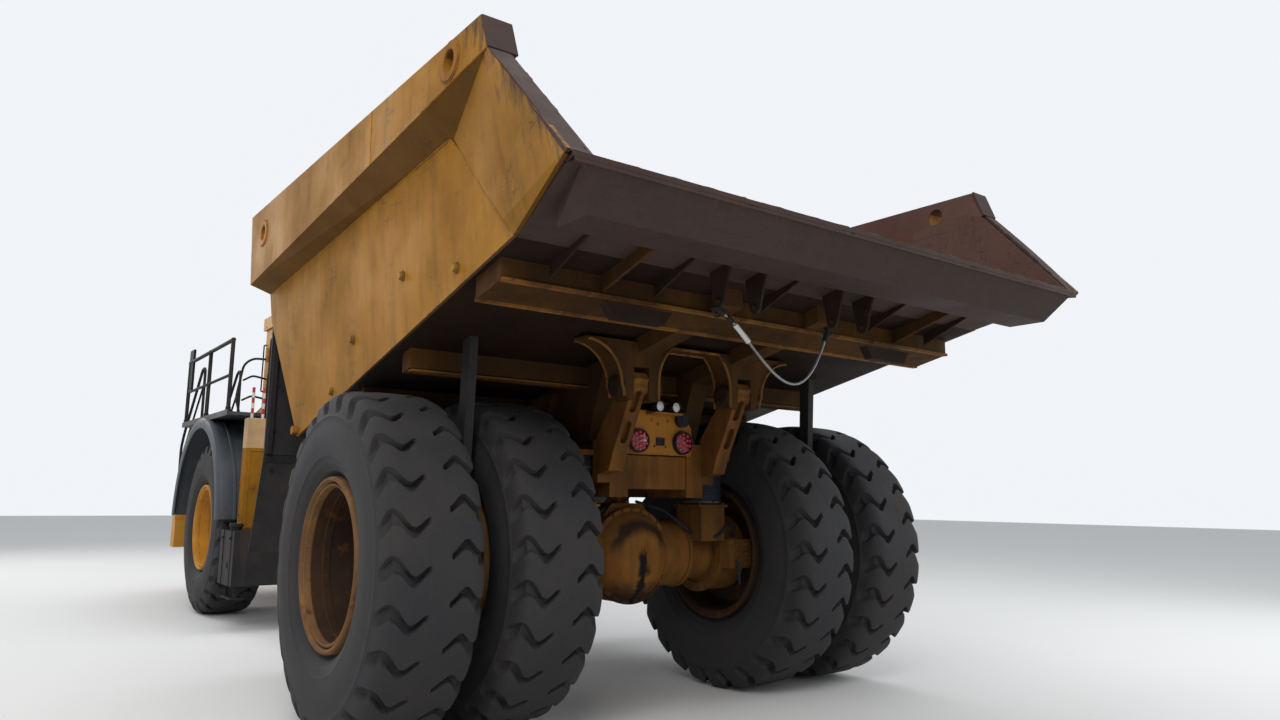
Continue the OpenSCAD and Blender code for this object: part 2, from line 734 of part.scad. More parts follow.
module steer_rod(side) {
  color(steel) steer_place(side) difference() {
    union() {
      translate([0, 0, 620]) cylinder(r = steer_rod_r, h = steer_len - 670);
      translate([0, 0, steer_len]) rotate([90, 0, 0]) cylinder(r = 60, h = 80, center = true);
      // the pin stays in the eye, and ends just short of the arms
      translate([0, 0, steer_len]) rotate([90, 0, 0]) cylinder(r = 30, h = 106, center = true);
    }
  }
}

module steer_barrel_left() { steer_barrel(1); }
module steer_barrel_right() { steer_barrel(-1); }
module steer_rod_left() { steer_rod(1); }
module steer_rod_right() { steer_rod(-1); }

// Tractor unit

tractor_x = [320, 450];
tractor_z = [1150, 1560];
chassis_nose = front_y - 2500;
chassis_end = hitch_y - 640;
arch_top = tyre_r + 190 + 60;
cab_y0 = front_y - 420;
cab_y1 = cab_y0 + cab_l;
fender_r = 1340;
fender_t = 45;
fender_x = front_track_x - 310;
fender_low = 1200;
fender_end = asin((fender_low - tyre_r) / fender_r);
tank_y = [front_y + fender_r + fender_t + 35, front_y + fender_r + fender_t + 665];
deck_z = [tyre_r + fender_r + fender_t - 38, tyre_r + fender_r + fender_t + 2];
deck_x = front_track_x + 365;
bumper_z = [700, 1430];
bumper_x = [1150, 1450];
bumper_y = [front_y - 2700, front_y - 2450];
stair_x = [960, 1420];
stair_y = [bumper_y[0] + 80, front_y - fender_r - 60];
stair_foot = bumper_z[1] + fit;
hood_low = 1640;
hood_y = [front_y - 2720, cab_y0 - 50];
// Heights of the hood's sloping top: nose, bend and rear
hood_top = [hood_low + 590, hood_low + 690, hood_low + 1120];
hood_t = 15;
// Vents in the hood's sides: [rear end, length, foot, height, slant]
hood_vents = [[-1050, 720, 2090, 210, 90], [-950, 860, 1780, 210, 90]];
function vent_shape(v) = [
  [front_y + v[0], v[2]], [front_y + v[0] - 40, v[2] + v[3]], [front_y + v[0] - v[1] + v[4], v[2] + v[3]],
  [front_y + v[0] - v[1], v[2]]
];
front_strut_z = 1470;
engine_x = 380;
radiator_x = 560;
engine_y = [front_y - 2000, front_y - 560];
radiator_y = [front_y - 2420, front_y - 2200];
tank_x = 1640;
tank_h = 590;
panel_x = [930, 1478];
panel_top = 2370;
hood_hinge = [hood_y[0] + 60, hood_low + 40];

module front_chassis() {
  color(yellow) {
    each_side() {
      // rail, arched over the axle
      side_plate(tractor_x[0], tractor_x[1], [
        [chassis_nose, tractor_z[0]], [front_y - 460, tractor_z[0]], [front_y - 260, arch_top],
        [front_y + 260, arch_top], [front_y + 460, tractor_z[0]], [chassis_end, tractor_z[0]],
        [chassis_end, tractor_z[1]], [chassis_nose, tractor_z[1]]
      ]);
      // bracket and pin of the steering cylinder
      block([tractor_x[1] - 1, hitch_y + steer_base[1] - 70, hitch_z - 115],
        [steer_base[0] + 60, hitch_y + steer_base[1] + 60, hitch_z - 65]);
      z_cyl(35, hitch_z - 80, hitch_z + 60, steer_base[0], hitch_y + steer_base[1]);
      // seat above the front strut
      block([tractor_x[1] - 1, front_y - 110, front_strut_z], [730, front_y + 110, tractor_z[1]]);
      // pedestal of the cab
      side_plate(tractor_x[1] - 40, tractor_x[1], [
        [cab_y0 + 200, tractor_z[1] - 1], [cab_y1 - 200, tractor_z[1] - 1], [cab_y1 - 60, cab_floor_z - fit],
        [cab_y0 + 60, cab_floor_z - fit]
      ]);
      block([-1, cab_y0 + 60, cab_floor_z - 60], [tractor_x[1], cab_y0 + 140, cab_floor_z - fit]);
      block([-1, cab_y1 - 140, cab_floor_z - 60], [tractor_x[1], cab_y1 - 60, cab_floor_z - fit]);
      for (y = [cab_y0 + 90, cab_y1 - 170])
        block([tractor_x[1] - 1, y, cab_floor_z - 90], [cab_w / 2 - 80, y + 80, cab_floor_z - fit]);
      // outriggers that carry the fenders
      for (y = [front_y - fender_r - 40, front_y + fender_r - 20])
        block([tractor_x[1] - 1, y, 1320], [fender_x - fit, y + 60, 1400]);
      // hangers of the side tanks
      for (y = [tank_y[0] + 100, tank_y[0] + 480])
        block([tractor_x[0], y, tank_top + fit], [900, y + 80, tractor_z[0] + 1]);
      // ledges under the hood, with its hinge
      for (y = [hood_y[0] + 180, hood_y[1] - 260])
        block([tractor_x[1] - 1, y, tractor_z[1] - 60], [hood_w / 2, y + 90, hood_low - fit]);
      block([tractor_x[0], chassis_nose - 150, tractor_z[1] - 120],
        [tractor_x[1], chassis_nose + 1, tractor_z[1]]);
      side_plate(tractor_x[0], tractor_x[1], [
        [chassis_nose - 150, tractor_z[1] - 1], [chassis_nose - 50, tractor_z[1] - 1],
        [hood_hinge[0] + 40, hood_hinge[1] + 30], [hood_hinge[0] - 30, hood_hinge[1] + 30]
      ]);
    }
    x_cyl(20, -tractor_x[1] - 40, tractor_x[1] + 40, hood_hinge[0], hood_hinge[1]);
    for (y = [chassis_nose, front_y + 500, chassis_end - 160])
      block([-tractor_x[0] - 1, y, 1200], [tractor_x[0] + 1, y + 160, 1500]);
    // ears and pin of the hitch
    for (z = [ear_z[0], ear_z[1] - ear_t_front])
      hull() {
        z_cyl(180, z, z + ear_t_front, 0, hitch_y);
        block([-300, hitch_y - 700, z], [300, hitch_y - 660, z + ear_t_front]);
      }
    block([-tractor_x[0] - 1, hitch_y - 720, ear_z[0]], [tractor_x[0] + 1, hitch_y - 660, ear_z[1]]);
    z_cyl(hitch_pin_r, ear_z[0] + 1, ear_z[1] - 1, 0, hitch_y);
  }
}

module bumper() {
  face_y = front_y - front_overhang;
  color(yellow) difference() {
    hull() {
      block([-bumper_x[1], bumper_y[0], bumper_z[0]], [bumper_x[1], bumper_y[1], bumper_z[1]]);
      block([-bumper_x[0], face_y, bumper_z[0] + 120], [bumper_x[0], bumper_y[0], bumper_z[1] - 30]);
    }
    block([-bumper_x[1] - 1, chassis_nose - fit, bumper_z[0] + 400],
      [bumper_x[1] + 1, bumper_y[1] + 1, bumper_z[1] + 1]);
  }
}

module engine() {
  color(steel) {
    block([-engine_x, engine_y[0], tractor_z[1]], [engine_x, engine_y[1], hood_top[0] + 20]);
    // radiator
    block([-radiator_x, radiator_y[0], tractor_z[1]], [radiator_x, radiator_y[1], hood_top[0] - 80]);
  }
}

module hood_form(inset) {
  side_plate(-hood_w / 2 + inset, hood_w / 2 - inset, [
    [hood_y[0] + inset, hood_low - inset], [hood_y[1] + inset, hood_low - inset],
    [hood_y[1] + inset, hood_top[2] - inset], [hood_y[0] + 130 + inset / 2, hood_top[1] - inset],
    [hood_y[0] + inset, hood_top[0] - inset]
  ]);
}

module hood() {
  grille = [520, hood_low + 140, hood_low + 540];
  color(yellow) difference() {
    hood_form(0);
    hood_form(hood_t);
    // front grille opening, and two vents on each side
    block([-grille[0], hood_y[0] - 10, grille[1]], [grille[0], hood_y[0] + 40, grille[2]]);
    each_side() for (v = hood_vents) side_plate(hood_w / 2 - hood_t - 1, hood_w / 2 + 1, vent_shape(v));
    // room for the hinge brackets
    each_side()
      block([tractor_x[0] - 50, hood_y[0] - 1, hood_low - 1],
        [tractor_x[1] + 60, hood_y[0] + 200, hood_low + 110]);
  }
  // slats of the grille
  color(black) for (z = [grille[1] + 50:60:grille[2] - 50])
    block([-grille[0] - 5, hood_y[0] + 2, z], [grille[0] + 5, hood_y[0] + hood_t - 2, z + 16]);
  // eyes on the hinge
  color(yellow) each_side() difference() {
    block([tractor_x[1] + gap, hood_y[0] + 20, hood_hinge[1] - 35],
      [tractor_x[1] + 35, hood_y[0] + 100, hood_low + 111]);
    x_cyl(20 + fit, 0, 900, hood_hinge[0], hood_hinge[1]);
  }
}

cab_t = 60;
cab_sill = deck_z[1] + 350;
pillar = 90;
roof_t = 160;
roof_z = cab_roof_z - roof_t;
door_y0 = cab_y0 + 150;
door_w = 700;
door_y1 = door_y0 + door_w;
window_top = roof_z - 80;
pane_t = 8;
knuckle_r = 18;
door_sill = deck_z[1] + 40;
door_hinge_z = [door_sill + 200, roof_z - 400];

module cab_shell() {
  half = cab_w / 2;
  inside = half - cab_t;
  color(yellow) difference() {
    block([-half, cab_y0, cab_floor_z], [half, cab_y1, roof_z - fit]);
    block([-inside, cab_y0 + cab_t, cab_floor_z + cab_t], [inside, cab_y1 - cab_t, roof_z + 1]);
    // windscreen and rear window
    block([-half + pillar, cab_y0 - 1, cab_sill], [half - pillar, cab_y1 + 1, window_top]);
    // side windows
    block([-half - 1, cab_y0 + pillar, cab_sill], [0, cab_y1 - pillar, window_top]);
    block([0, door_y1 + pillar, cab_sill], [half + 1, cab_y1 - pillar, window_top]);
    // doorway on the left
    block([0, door_y0, door_sill], [half + 1, door_y1, window_top]);
  }
  // hinge knuckles under the door's
  color(yellow) for (z = door_hinge_z) {
    z_cyl(knuckle_r, z - 60, z - fit, cab_w / 2 + knuckle_r + 1, door_y0 + 20);
    block([cab_w / 2 - 1, door_y0 - 50, z - 60], [cab_w / 2 + 10, door_y0 - fit, z - fit]);
    block([cab_w / 2 - 1, door_y0 - 50, z - 60], [cab_w / 2 + knuckle_r + 1, door_y0 - fit, z - 40]);
    block([cab_w / 2 + 5, door_y0 - 10, z - 60], [cab_w / 2 + knuckle_r + 1, door_y0 + 20, z - 40]);
  }
}

module cab_roof() {
  color(yellow) block([-cab_w / 2 - 30, cab_y0 - 60, roof_z], [cab_w / 2 + 30, cab_y1 + 40, cab_roof_z]);
}

module cab_glass() {
  color(glass) {
    edge = pillar + fit;
    z = [cab_sill + fit, window_top - fit];
    for (y = [cab_y0 + 20, cab_y1 - 20 - pane_t])
      block([-cab_w / 2 + edge, y, z[0]], [cab_w / 2 - edge, y + pane_t, z[1]]);
    x = cab_w / 2 - 20;
    block([-x, cab_y0 + edge, z[0]], [-x + pane_t, cab_y1 - edge, z[1]]);
    block([x - pane_t, door_y1 + edge, z[0]], [x, cab_y1 - edge, z[1]]);
  }
}

module cab_door() {
  color(yellow) difference() {
    union() {
      block([cab_w / 2 - cab_t, door_y0 + gap, door_sill + gap],
        [cab_w / 2, door_y1 - gap, window_top - gap]);
      // hinge barrels
      for (z = door_hinge_z) {
        z_cyl(knuckle_r, z, z + 120, cab_w / 2 + knuckle_r + 1, door_y0 + 20);
        block([cab_w / 2 - 1, door_y0 + 20, z], [cab_w / 2 + 10, door_y0 + 60, z + 120]);
      }
    }
    block([cab_w / 2 - cab_t - 1, door_y0 + 90, cab_sill], [cab_w / 2 + 1, door_y1 - 90, window_top - 90]);
  }
}

module door_glass() {
  x = cab_w / 2 - 26;
  edge = 90 + fit;
  color(glass) block([x - pane_t, door_y0 + edge, cab_sill + fit], [x, door_y1 - edge, window_top - edge]);
}

module cab_seat() {
  seat_z = cab_floor_z + cab_t;
  color(black) {
    block([-260, cab_y0 + 800, seat_z], [260, cab_y0 + 1250, seat_z + 420]);
    block([-260, cab_y0 + 1249, seat_z + 200], [260, cab_y0 + 1380, seat_z + 1050]);
    // console beside it
    block([300, cab_y0 + 850, seat_z], [480, cab_y0 + 1380, seat_z + 520]);
  }
}

module fenders() {
  color(black) each_side() {
    translate([fender_x, front_y, tyre_r]) rotate([90, 0, 90]) rotate([0, 0, fender_end])
      rotate_extrude(angle = 180 - 2 * fender_end)
        polygon([[fender_r, 0], [fender_r + fender_t, 0], [fender_r + fender_t, 700], [fender_r, 700]]);
    block([cab_w / 2 + 20, front_y - fender_r - 60, deck_z[0]],
      [deck_x, front_y + fender_r - 40, deck_z[1]]);
    // stairs that lead down from the deck to the bumper
    for (x = [stair_x[0], stair_x[1] - 12])
      side_plate(x, x + 12, [
        [stair_y[0], stair_foot], [stair_y[0] + 160, stair_foot], [stair_y[1] + 10, deck_z[0] - 110],
        [stair_y[1] + 10, deck_z[1]], [stair_y[1] - 130, deck_z[1]]
      ]);
    for (k = [1:4]) {
      z = stair_foot + (deck_z[1] - stair_foot) * k / 5;
      y = stair_y[0] + (stair_y[1] - stair_y[0] - 100) * k / 5;
      block([stair_x[0] + 11, y - 60, z - 20], [stair_x[1] - 11, y + 140, z]);
    }
  }
}

module handrails() {
  x = deck_x - 25;
  top = deck_z[1] + 890;
  color(black) each_side() {
    for (y = [front_y - 1300, front_y, front_y + 1200]) z_cyl(24, deck_z[1] + fit, top, x, y);
    y_cyl(24, front_y - 1324, front_y + 1224, x, top - 20);
    y_cyl(18, front_y - 1300, front_y + 1200, x, (deck_z[1] + top) / 2);
    // mirror
    block([x - 20, front_y - 1340, top - 450], [x + 10, front_y - 1100, top + 150]);
  }
}

tank_top = tractor_z[0] - 60;
module side_tanks() {
  each_side() {
    color(black) block([tractor_x[1] + 60, tank_y[0], tank_top - tank_h], [tank_x, tank_y[1], tank_top]);
    // panel box that stands on the tank behind the wheel
    color(yellow) block([panel_x[0], tank_y[0], tank_top - 1], [panel_x[1], tank_y[0] + 160, panel_top]);
  }
}

module front_axle() {
  color(yellow) {
    x_cyl(190, -900, 900, front_y, tyre_r);
    y_cyl(290, front_y - 170, front_y + 170, 0, tyre_r);
    each_side() {
      x_cyl(270, 820, front_spindle[0] - 170, front_y, tyre_r);
      x_cyl(spindle_r, 880, front_spindle[1], front_y, tyre_r);
      z_cyl(75, tyre_r, front_strut_z - fit, 640, front_y);
    }
  }
}

module head_lamps() {
  // lamp pods on the bumper, outside the hood
  color(glass) each_side()
    block([hood_w / 2 + 20, bumper_y[0], bumper_z[1] + fit],
      [stair_x[0] - 20, bumper_y[1] - 30, bumper_z[1] + 250]);
}

front_chassis();
bumper();
engine();
hood();
cab_shell();
cab_roof();
cab_glass();
cab_door();
door_glass();
cab_seat();
fenders();
handrails();
side_tanks();
front_axle();
head_lamps();
tyre_front_left();
rim_front_left();
tyre_front_right();
rim_front_right();
hitch();
steer_barrel_left();
steer_rod_left();
steer_barrel_right();
steer_rod_right();
rear_chassis();
tail_panel();
tail_lamps();
rear_axle();
rear_struts();
propshaft();
rear_guards();
tyres_rear_left();
rim_rear_left();
tyres_rear_right();
rim_rear_right();
body_floor();
body_sides();
body_tail();
body_frame();
rock_ejectors();
hoist_barrel_left();
hoist_rod_left();
hoist_barrel_right();
hoist_rod_right();
safety_cable();
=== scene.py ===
import math
import random
import bmesh
import bpy
from mathutils import Matrix, Vector


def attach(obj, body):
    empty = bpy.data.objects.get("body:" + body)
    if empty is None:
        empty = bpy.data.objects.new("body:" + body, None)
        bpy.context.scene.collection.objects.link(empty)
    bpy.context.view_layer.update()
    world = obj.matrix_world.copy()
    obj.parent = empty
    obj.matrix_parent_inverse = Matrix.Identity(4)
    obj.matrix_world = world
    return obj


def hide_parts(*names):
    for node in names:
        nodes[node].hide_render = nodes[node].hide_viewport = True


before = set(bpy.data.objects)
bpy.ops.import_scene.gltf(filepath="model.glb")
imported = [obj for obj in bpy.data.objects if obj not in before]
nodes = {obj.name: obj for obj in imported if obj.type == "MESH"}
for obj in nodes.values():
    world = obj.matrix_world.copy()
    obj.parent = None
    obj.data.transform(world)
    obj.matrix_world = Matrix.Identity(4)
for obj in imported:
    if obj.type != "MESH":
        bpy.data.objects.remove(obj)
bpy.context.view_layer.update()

# Places along the truck, in metres: the axles, the hitch and the tyres
rearY, frontY, hitchY = 3.730, -3.270, -0.470
tyreRadius, tyreWidth = 1.073, 0.65
frontTrack, innerTrack, dualPitch = 1.285, 1.155, 0.812
floorLow, floorRise = 2.385, math.tan(math.radians(12.6))
wallHalf, wallTop, wallLean = 2.040, 3.300, 0.085
bumperTop = 1.4305
alongX, alongY, alongZ = (1, 0, 0), (0, 1, 0), (0, 0, 1)
ahead, down = (0, -1, 0), (0, 0, -1)


def at(y):
    # a length behind the rear axle, as a place along the truck
    return rearY + y


def floorAt(y):
    # height of the dump body's floor at a length behind the rear axle
    return floorLow + floorRise * y


def wallAt(z):
    # half width of the leaning side walls at a height
    return wallHalf - wallLean * (wallTop - z)


# Camera, as the photograph was taken

cameraSet = {
    "place": (4.08772, 9.38989, 1.49122), "forward": (-0.59197, -0.79141, 0.15242),
    "roll": 0.61331, "lens": 25.26,
}


def makeCamera(values):
    data = bpy.data.cameras.new("camera")
    data.lens = values["lens"]
    data.sensor_width = 36
    data.sensor_fit = "HORIZONTAL"
    data.clip_end = 200
    camera = bpy.data.objects.new("camera", data)
    bpy.context.scene.collection.objects.link(camera)
    forward = Vector(values["forward"]).normalized()
    right = forward.cross(Vector(alongZ)).normalized()
    up = right.cross(forward)
    roll = math.radians(values["roll"])
    tiltedRight = right * math.cos(roll) + up * math.sin(roll)
    tiltedUp = up * math.cos(roll) - right * math.sin(roll)
    turn = Matrix((tiltedRight, tiltedUp, -forward)).transposed()
    camera.matrix_world = Matrix.Translation(values["place"]) @ turn.to_4x4()
    bpy.context.scene.camera = camera
    print("camera is in place")


makeCamera(cameraSet)


# Mesh building

def shift(place, *move):
    return tuple(a + b for a, b in zip(place, move))


def span(low, high, count):
    # evenly spaced numbers, with both ends
    return [low + (high - low) * i / (count - 1) for i in range(count)]


def arc(centre, radius, start, end, steps=12):
    # points of an arc in a plane, between two angles in degrees
    turns = [math.radians(a) for a in span(start, end, steps + 1)]
    return [(centre[0] + radius * math.cos(a), centre[1] + radius * math.sin(a)) for a in turns]


def disc(centre, radius, steps=32):
    return arc(centre, radius, 0, 360, steps)[:-1]


def rectangle(a0, a1, b0, b1):
    return [(a0, b0), (a1, b0), (a1, b1), (a0, b1)]


def roundedRectangle(a0, a1, b0, b1, corner=0.035, steps=4):
    points = []
    for a, b, start in ((a1 - corner, b1 - corner, 0), (a0 + corner, b1 - corner, 90),
                        (a0 + corner, b0 + corner, 180), (a1 - corner, b0 + corner, 270)):
        points += arc((a, b), corner, start, start + 90, steps)
    return points


def rounded(points, radius=0.08, steps=5):
    # a path with its corners rounded
    points = [Vector(p) for p in points]
    way = [points[0]]
    for before, corner, after in zip(points, points[1:], points[2:]):
        reach = min(radius, (corner - before).length / 2, (after - corner).length / 2)
        a = corner + (before - corner).normalized() * reach
        b = corner + (after - corner).normalized() * reach
        way += [a * (1 - t) ** 2 + corner * 2 * t * (1 - t) + b * t * t for t in span(0, 1, steps + 1)]
    return way + [points[-1]]


def laid(axis, outline, t):
    # an outline given in two coordinates, at a place along the third
    order = {"x": (2, 0, 1), "y": (0, 2, 1), "z": (0, 1, 2)}[axis]
    return [tuple((a, b, t)[k] for k in order) for a, b in outline]


def frameOf(axis):
    axis = Vector(axis).normalized()
    side = axis.orthogonal().normalized()
    return axis, side, axis.cross(side)


class Form:
    # gathers the faces of one piece from boxes, plates, tubes and turned shapes

    def __init__(self):
        self.verts, self.faces = [], []

    def add(self, verts, faces):
        start = len(self.verts)
        self.verts += [tuple(v) for v in verts]
        self.faces += [tuple(i + start for i in f) for f in faces]
        return self

    def skin(self, rows, close=False, caps=False, wrap=False):
        # a surface through rows of points: rows closed, both ends or the last one shut, or the ends joined
        n, count = len(rows[0]), len(rows)
        faces = []
        for i in range(count if wrap else count - 1):
            j = (i + 1) % count
            faces += [(i * n + k, i * n + (k + 1) % n, j * n + (k + 1) % n, j * n + k)
                      for k in range(n if close else n - 1)]
        if caps:
            faces.append(tuple(range((count - 1) * n, count * n)))
        if caps is True:
            faces.append(tuple(range(n))[::-1])
        return self.add([q for row in rows for q in row], faces)

    def plate(self, axis, start, end, outline):
        # a flat outline, counterclockwise in the other two coordinates, as a plate along an axis
        return self.skin([laid(axis, outline, t) for t in (start, end)], True, caps=True)

    def ring(self, axis, start, end, outer, inner):
        # a plate with a hole: two outlines with the same number of points
        lines = ((outer, start), (outer, end), (inner, end), (inner, start))
        return self.skin([laid(axis, line, t) for line, t in lines], True, wrap=True)

    def box(self, low, high):
        (x0, x1), (y0, y1), (z0, z1) = (sorted(pair) for pair in zip(low, high))
        return self.plate("z", z0, z1, rectangle(x0, x1, y0, y1))

    def turned(self, centre, axis, profile, steps=32, closed=False):
        # profile points are (radius, distance along the axis)
        axis, side, other = frameOf(axis)
        turns = [2 * math.pi * i / steps for i in range(steps)]
        rows = [[Vector(centre) + axis * d + (side * math.cos(a) + other * math.sin(a)) * r for a in turns]
                for r, d in profile]
        return self.skin(rows, True, caps=not closed, wrap=closed)

    def rod(self, start, end, radius, steps=20, endRadius=None):
        way = Vector(end) - Vector(start)
        return self.turned(start, way, [(radius, 0), (endRadius or radius, way.length)], steps)

    def tube(self, points, radius, steps=12):
        points, rows, side = [Vector(p) for p in points], [], None
        for i, p in enumerate(points):
            way = (points[min(i + 1, len(points) - 1)] - points[max(i - 1, 0)]).normalized()
            side = side or way.orthogonal().normalized()
            side = (side - way * side.dot(way)).normalized()
            other = way.cross(side)
            turns = [2 * math.pi * k / steps for k in range(steps)]
            rows.append([p + (side * math.cos(a) + other * math.sin(a)) * radius for a in turns])
        return self.skin(rows, True, caps=True)

    def pipe(self, points, radius, bend, steps=10):
        return self.tube(rounded(points, bend), radius, steps)

    def bolt(self, place, axis, radius, height):
        # hexagon head on a washer
        self.turned(place, axis, [(radius * 1.25, 0), (radius * 1.25, height * 0.25)], 12)
        head = [(radius, 0), (radius, height * 0.7), (radius * 0.8, height * 0.8)]
        return self.turned(Vector(place) + Vector(axis).normalized() * height * 0.2, axis, head, 6)

    def boltGrid(self, xs, ys, zs, axis, radius, height):
        for x in xs:
            for y in ys:
                for z in zs:
                    self.bolt((x, y, z), axis, radius, height)
        return self

    def bolts(self, centre, axis, circle, count, radius, height, turn=0.0):
        axis, side, other = frameOf(axis)
        for k in range(count):
            a = 2 * math.pi * k / count + turn
            out = (side * math.cos(a) + other * math.sin(a)) * circle
            self.bolt(Vector(centre) + out, axis, radius, height)
        return self

    def flipped(self):
        # a copy on the truck's other side
        return Form().add([(-x, y, z) for x, y, z in self.verts], [f[::-1] for f in self.faces])

    def mirrored(self):
        other = self.flipped()
        return self.add(other.verts, other.faces)


def makePiece(name, form, finish, body, bevel=0.0, smooth=35, replaced=()):
    mesh = bpy.data.meshes.new(name)
    mesh.from_pydata(form.verts, [], form.faces)
    mesh.validate()
    # every face looks outward
    shell = bmesh.new()
    shell.from_mesh(mesh)
    bmesh.ops.recalc_face_normals(shell, faces=shell.faces)
    shell.to_mesh(mesh)
    shell.free()
    mesh.shade_smooth()
    mesh.set_sharp_from_angle(angle=math.radians(smooth))
    mesh.materials.append(mats[finish])
    piece = bpy.data.objects.new(name, mesh)
    bpy.context.scene.collection.objects.link(piece)
    if bevel:
        edge = piece.modifiers.new("edges", "BEVEL")
        edge.width, edge.segments, edge.limit_method = bevel, 2, "ANGLE"
        edge.angle_limit = math.radians(30)
        edge.harden_normals = True
    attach(piece, body)
    if replaced:
        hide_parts(*replaced)
    return piece


# Materials

class Graph:
    # lays nodes in one shader tree, where an input takes a value or another node's socket

    def __init__(self, tree):
        self.tree = tree

    def join(self, value, socket):
        if isinstance(value, bpy.types.NodeSocket):
            self.tree.links.new(value, socket)
        else:
            socket.default_value = value

    def node(self, kind, links=None, **settings):
        made = self.tree.nodes.new("ShaderNode" + kind)
        for key, value in settings.items():
            setattr(made, key, value)
        for key, value in (links or {}).items():
            self.join(value, made.inputs[key])
        return made

    def math(self, operation, a, b=0.0, clamp=False):
        return self.node("Math", {0: a, 1: b}, operation=operation, use_clamp=clamp).outputs[0]

    def plus(self, a, b):
        return self.math("ADD", a, b)

    def minus(self, a, b):
        return self.math("SUBTRACT", a, b)

    def times(self, a, b):
        return self.math("MULTIPLY", a, b)

    def most(self, a, b):
        return self.math("MAXIMUM", a, b)

    def range(self, value, low, high, toLow=0.0, toHigh=1.0):
        links = {"Value": value, "From Min": low, "From Max": high, "To Min": toLow, "To Max": toHigh}
        return self.node("MapRange", links).outputs["Result"]

    def mix(self, factor, a, b):
        a, b = (one if isinstance(one, bpy.types.NodeSocket) else (*one, 1) for one in (a, b))
        return self.node("Mix", {0: factor, 6: a, 7: b}, data_type="RGBA").outputs[2]

    def spot(self):
        return self.node("TexCoord").outputs["Object"]

    def axes(self, vector):
        return self.node("SeparateXYZ", {0: vector}).outputs

    def sized(self, vector, scale):
        return self.node("VectorMath", {0: vector, "Scale": scale}, operation="SCALE").outputs[0]

    def stretched(self, vector, scale, turn=(0, 0, 0)):
        return self.node("Mapping", {"Vector": vector, "Rotation": turn, "Scale": scale}).outputs[0]

    def noise(self, vector, scale, detail, roughness=0.5):
        links = {"Vector": vector, "Scale": scale, "Detail": detail, "Roughness": roughness}
        return self.node("TexNoise", links).outputs[0]

    def wobble(self, noise, size):
        # noise about zero
        return self.times(self.minus(noise, 0.5), size)

    def group(self, name, **values):
        made = self.tree.nodes.new("ShaderNodeGroup")
        made.node_tree = effects[name]
        for key, value in values.items():
            made.inputs[key].default_value = value
        return made.outputs

    def bump(self, height, strength, distance, socket):
        made = self.node("Bump", {"Height": height, "Strength": strength, "Distance": distance})
        self.join(made.outputs[0], socket)


effects = {}


def startGroup(name, inputs, *outputs):
    tree = effects[name] = bpy.data.node_groups.new(name, "ShaderNodeTree")
    for label, value in inputs.items():
        socket = tree.interface.new_socket(name=label, in_out="INPUT", socket_type="NodeSocketFloat")
        socket.default_value = value
    for label in outputs:
        kind = "NodeSocketColor" if label == "Color" else "NodeSocketFloat"
        tree.interface.new_socket(name=label, in_out="OUTPUT", socket_type=kind)
    return Graph(tree), tree.nodes.new("NodeGroupInput").outputs, tree.nodes.new("NodeGroupOutput").inputs


def edgeGroup():
    # white where the surface turns sharply, broken up by noise
    graph, given, result = startGroup("edge", {"Radius": 0.02, "Amount": 0.5}, "Mask")
    bevel = graph.node("Bevel", {"Radius": given["Radius"]}, samples=6).outputs[0]
    plain = graph.node("NewGeometry").outputs["Normal"]
    dot = graph.node("VectorMath", {0: bevel, 1: plain}, operation="DOT_PRODUCT").outputs["Value"]
    broken = graph.plus(graph.noise(graph.spot(), 14.0, 6.0), given["Amount"])
    graph.join(graph.times(graph.range(dot, 0.995, 0.86), graph.range(broken, 0.75, 1.05)), result["Mask"])


def grimeGroup():
    # soft dirt in large patches, runs down the surface and fine grain
    graph, given, result = startGroup("grime", {"Scale": 1.0, "Amount": 0.5}, "Patches", "Runs", "Fine")
    sized = graph.sized(graph.spot(), given["Scale"])
    large = graph.plus(graph.noise(sized, 1.3, 8.0, 0.62), given["Amount"])
    runs = graph.plus(graph.noise(graph.stretched(sized, (9.0, 9.0, 0.7)), 1.0, 6.0, 0.7), given["Amount"])
    graph.join(graph.range(large, 0.78, 1.22), result["Patches"])
    graph.join(graph.range(runs, 0.88, 1.2), result["Runs"])
    graph.join(graph.noise(sized, 38.0, 5.0, 0.75), result["Fine"])


def scratchGroup():
    # thin marks where rock and branches slid over the paint
    graph, given, result = startGroup("scratch", {"Scale": 1.0, "Amount": 0.5}, "Mask")
    spot = graph.spot()
    total = 0.0
    for turn, size in (((0.3, 0.2, 0.9), (26.0, 26.0, 1.2)), ((0.9, 0.1, 0.2), (22.0, 1.0, 22.0)),
                       ((0.5, 0.6, 0.1), (1.6, 30.0, 30.0))):
        noise = graph.noise(graph.stretched(graph.sized(spot, given["Scale"]), size, turn), 1.0, 2.0)
        line = graph.range(graph.math("ABSOLUTE", graph.minus(noise, 0.5)), 0.012, 0.002)
        total = graph.most(total, line)
    kept = graph.range(graph.plus(graph.noise(spot, 2.4, 4.0), given["Amount"]), 0.92, 1.12)
    graph.join(graph.times(total, kept), result["Mask"])


def rustGroup():
    # ragged spots where the paint has gone, and the colour of what is under it
    graph, given, result = startGroup("rust", {"Scale": 1.0, "Amount": 0.3}, "Mask", "Color")
    sized = graph.sized(graph.spot(), given["Scale"])
    patches = graph.plus(graph.noise(sized, 5.0, 12.0, 0.72), given["Amount"])
    graph.join(graph.range(patches, 0.93, 1.0), result["Mask"])
    shade = graph.mix(graph.noise(sized, 60.0, 6.0), (0.030, 0.014, 0.010), (0.17, 0.062, 0.026))
    graph.join(shade, result["Color"])


def heightGroup(name, start, end):
    # goes from black to white between two heights
    graph, given, result = startGroup(name, {}, "Mask")
    graph.join(graph.range(graph.axes(graph.spot())[2], start, end), result["Mask"])


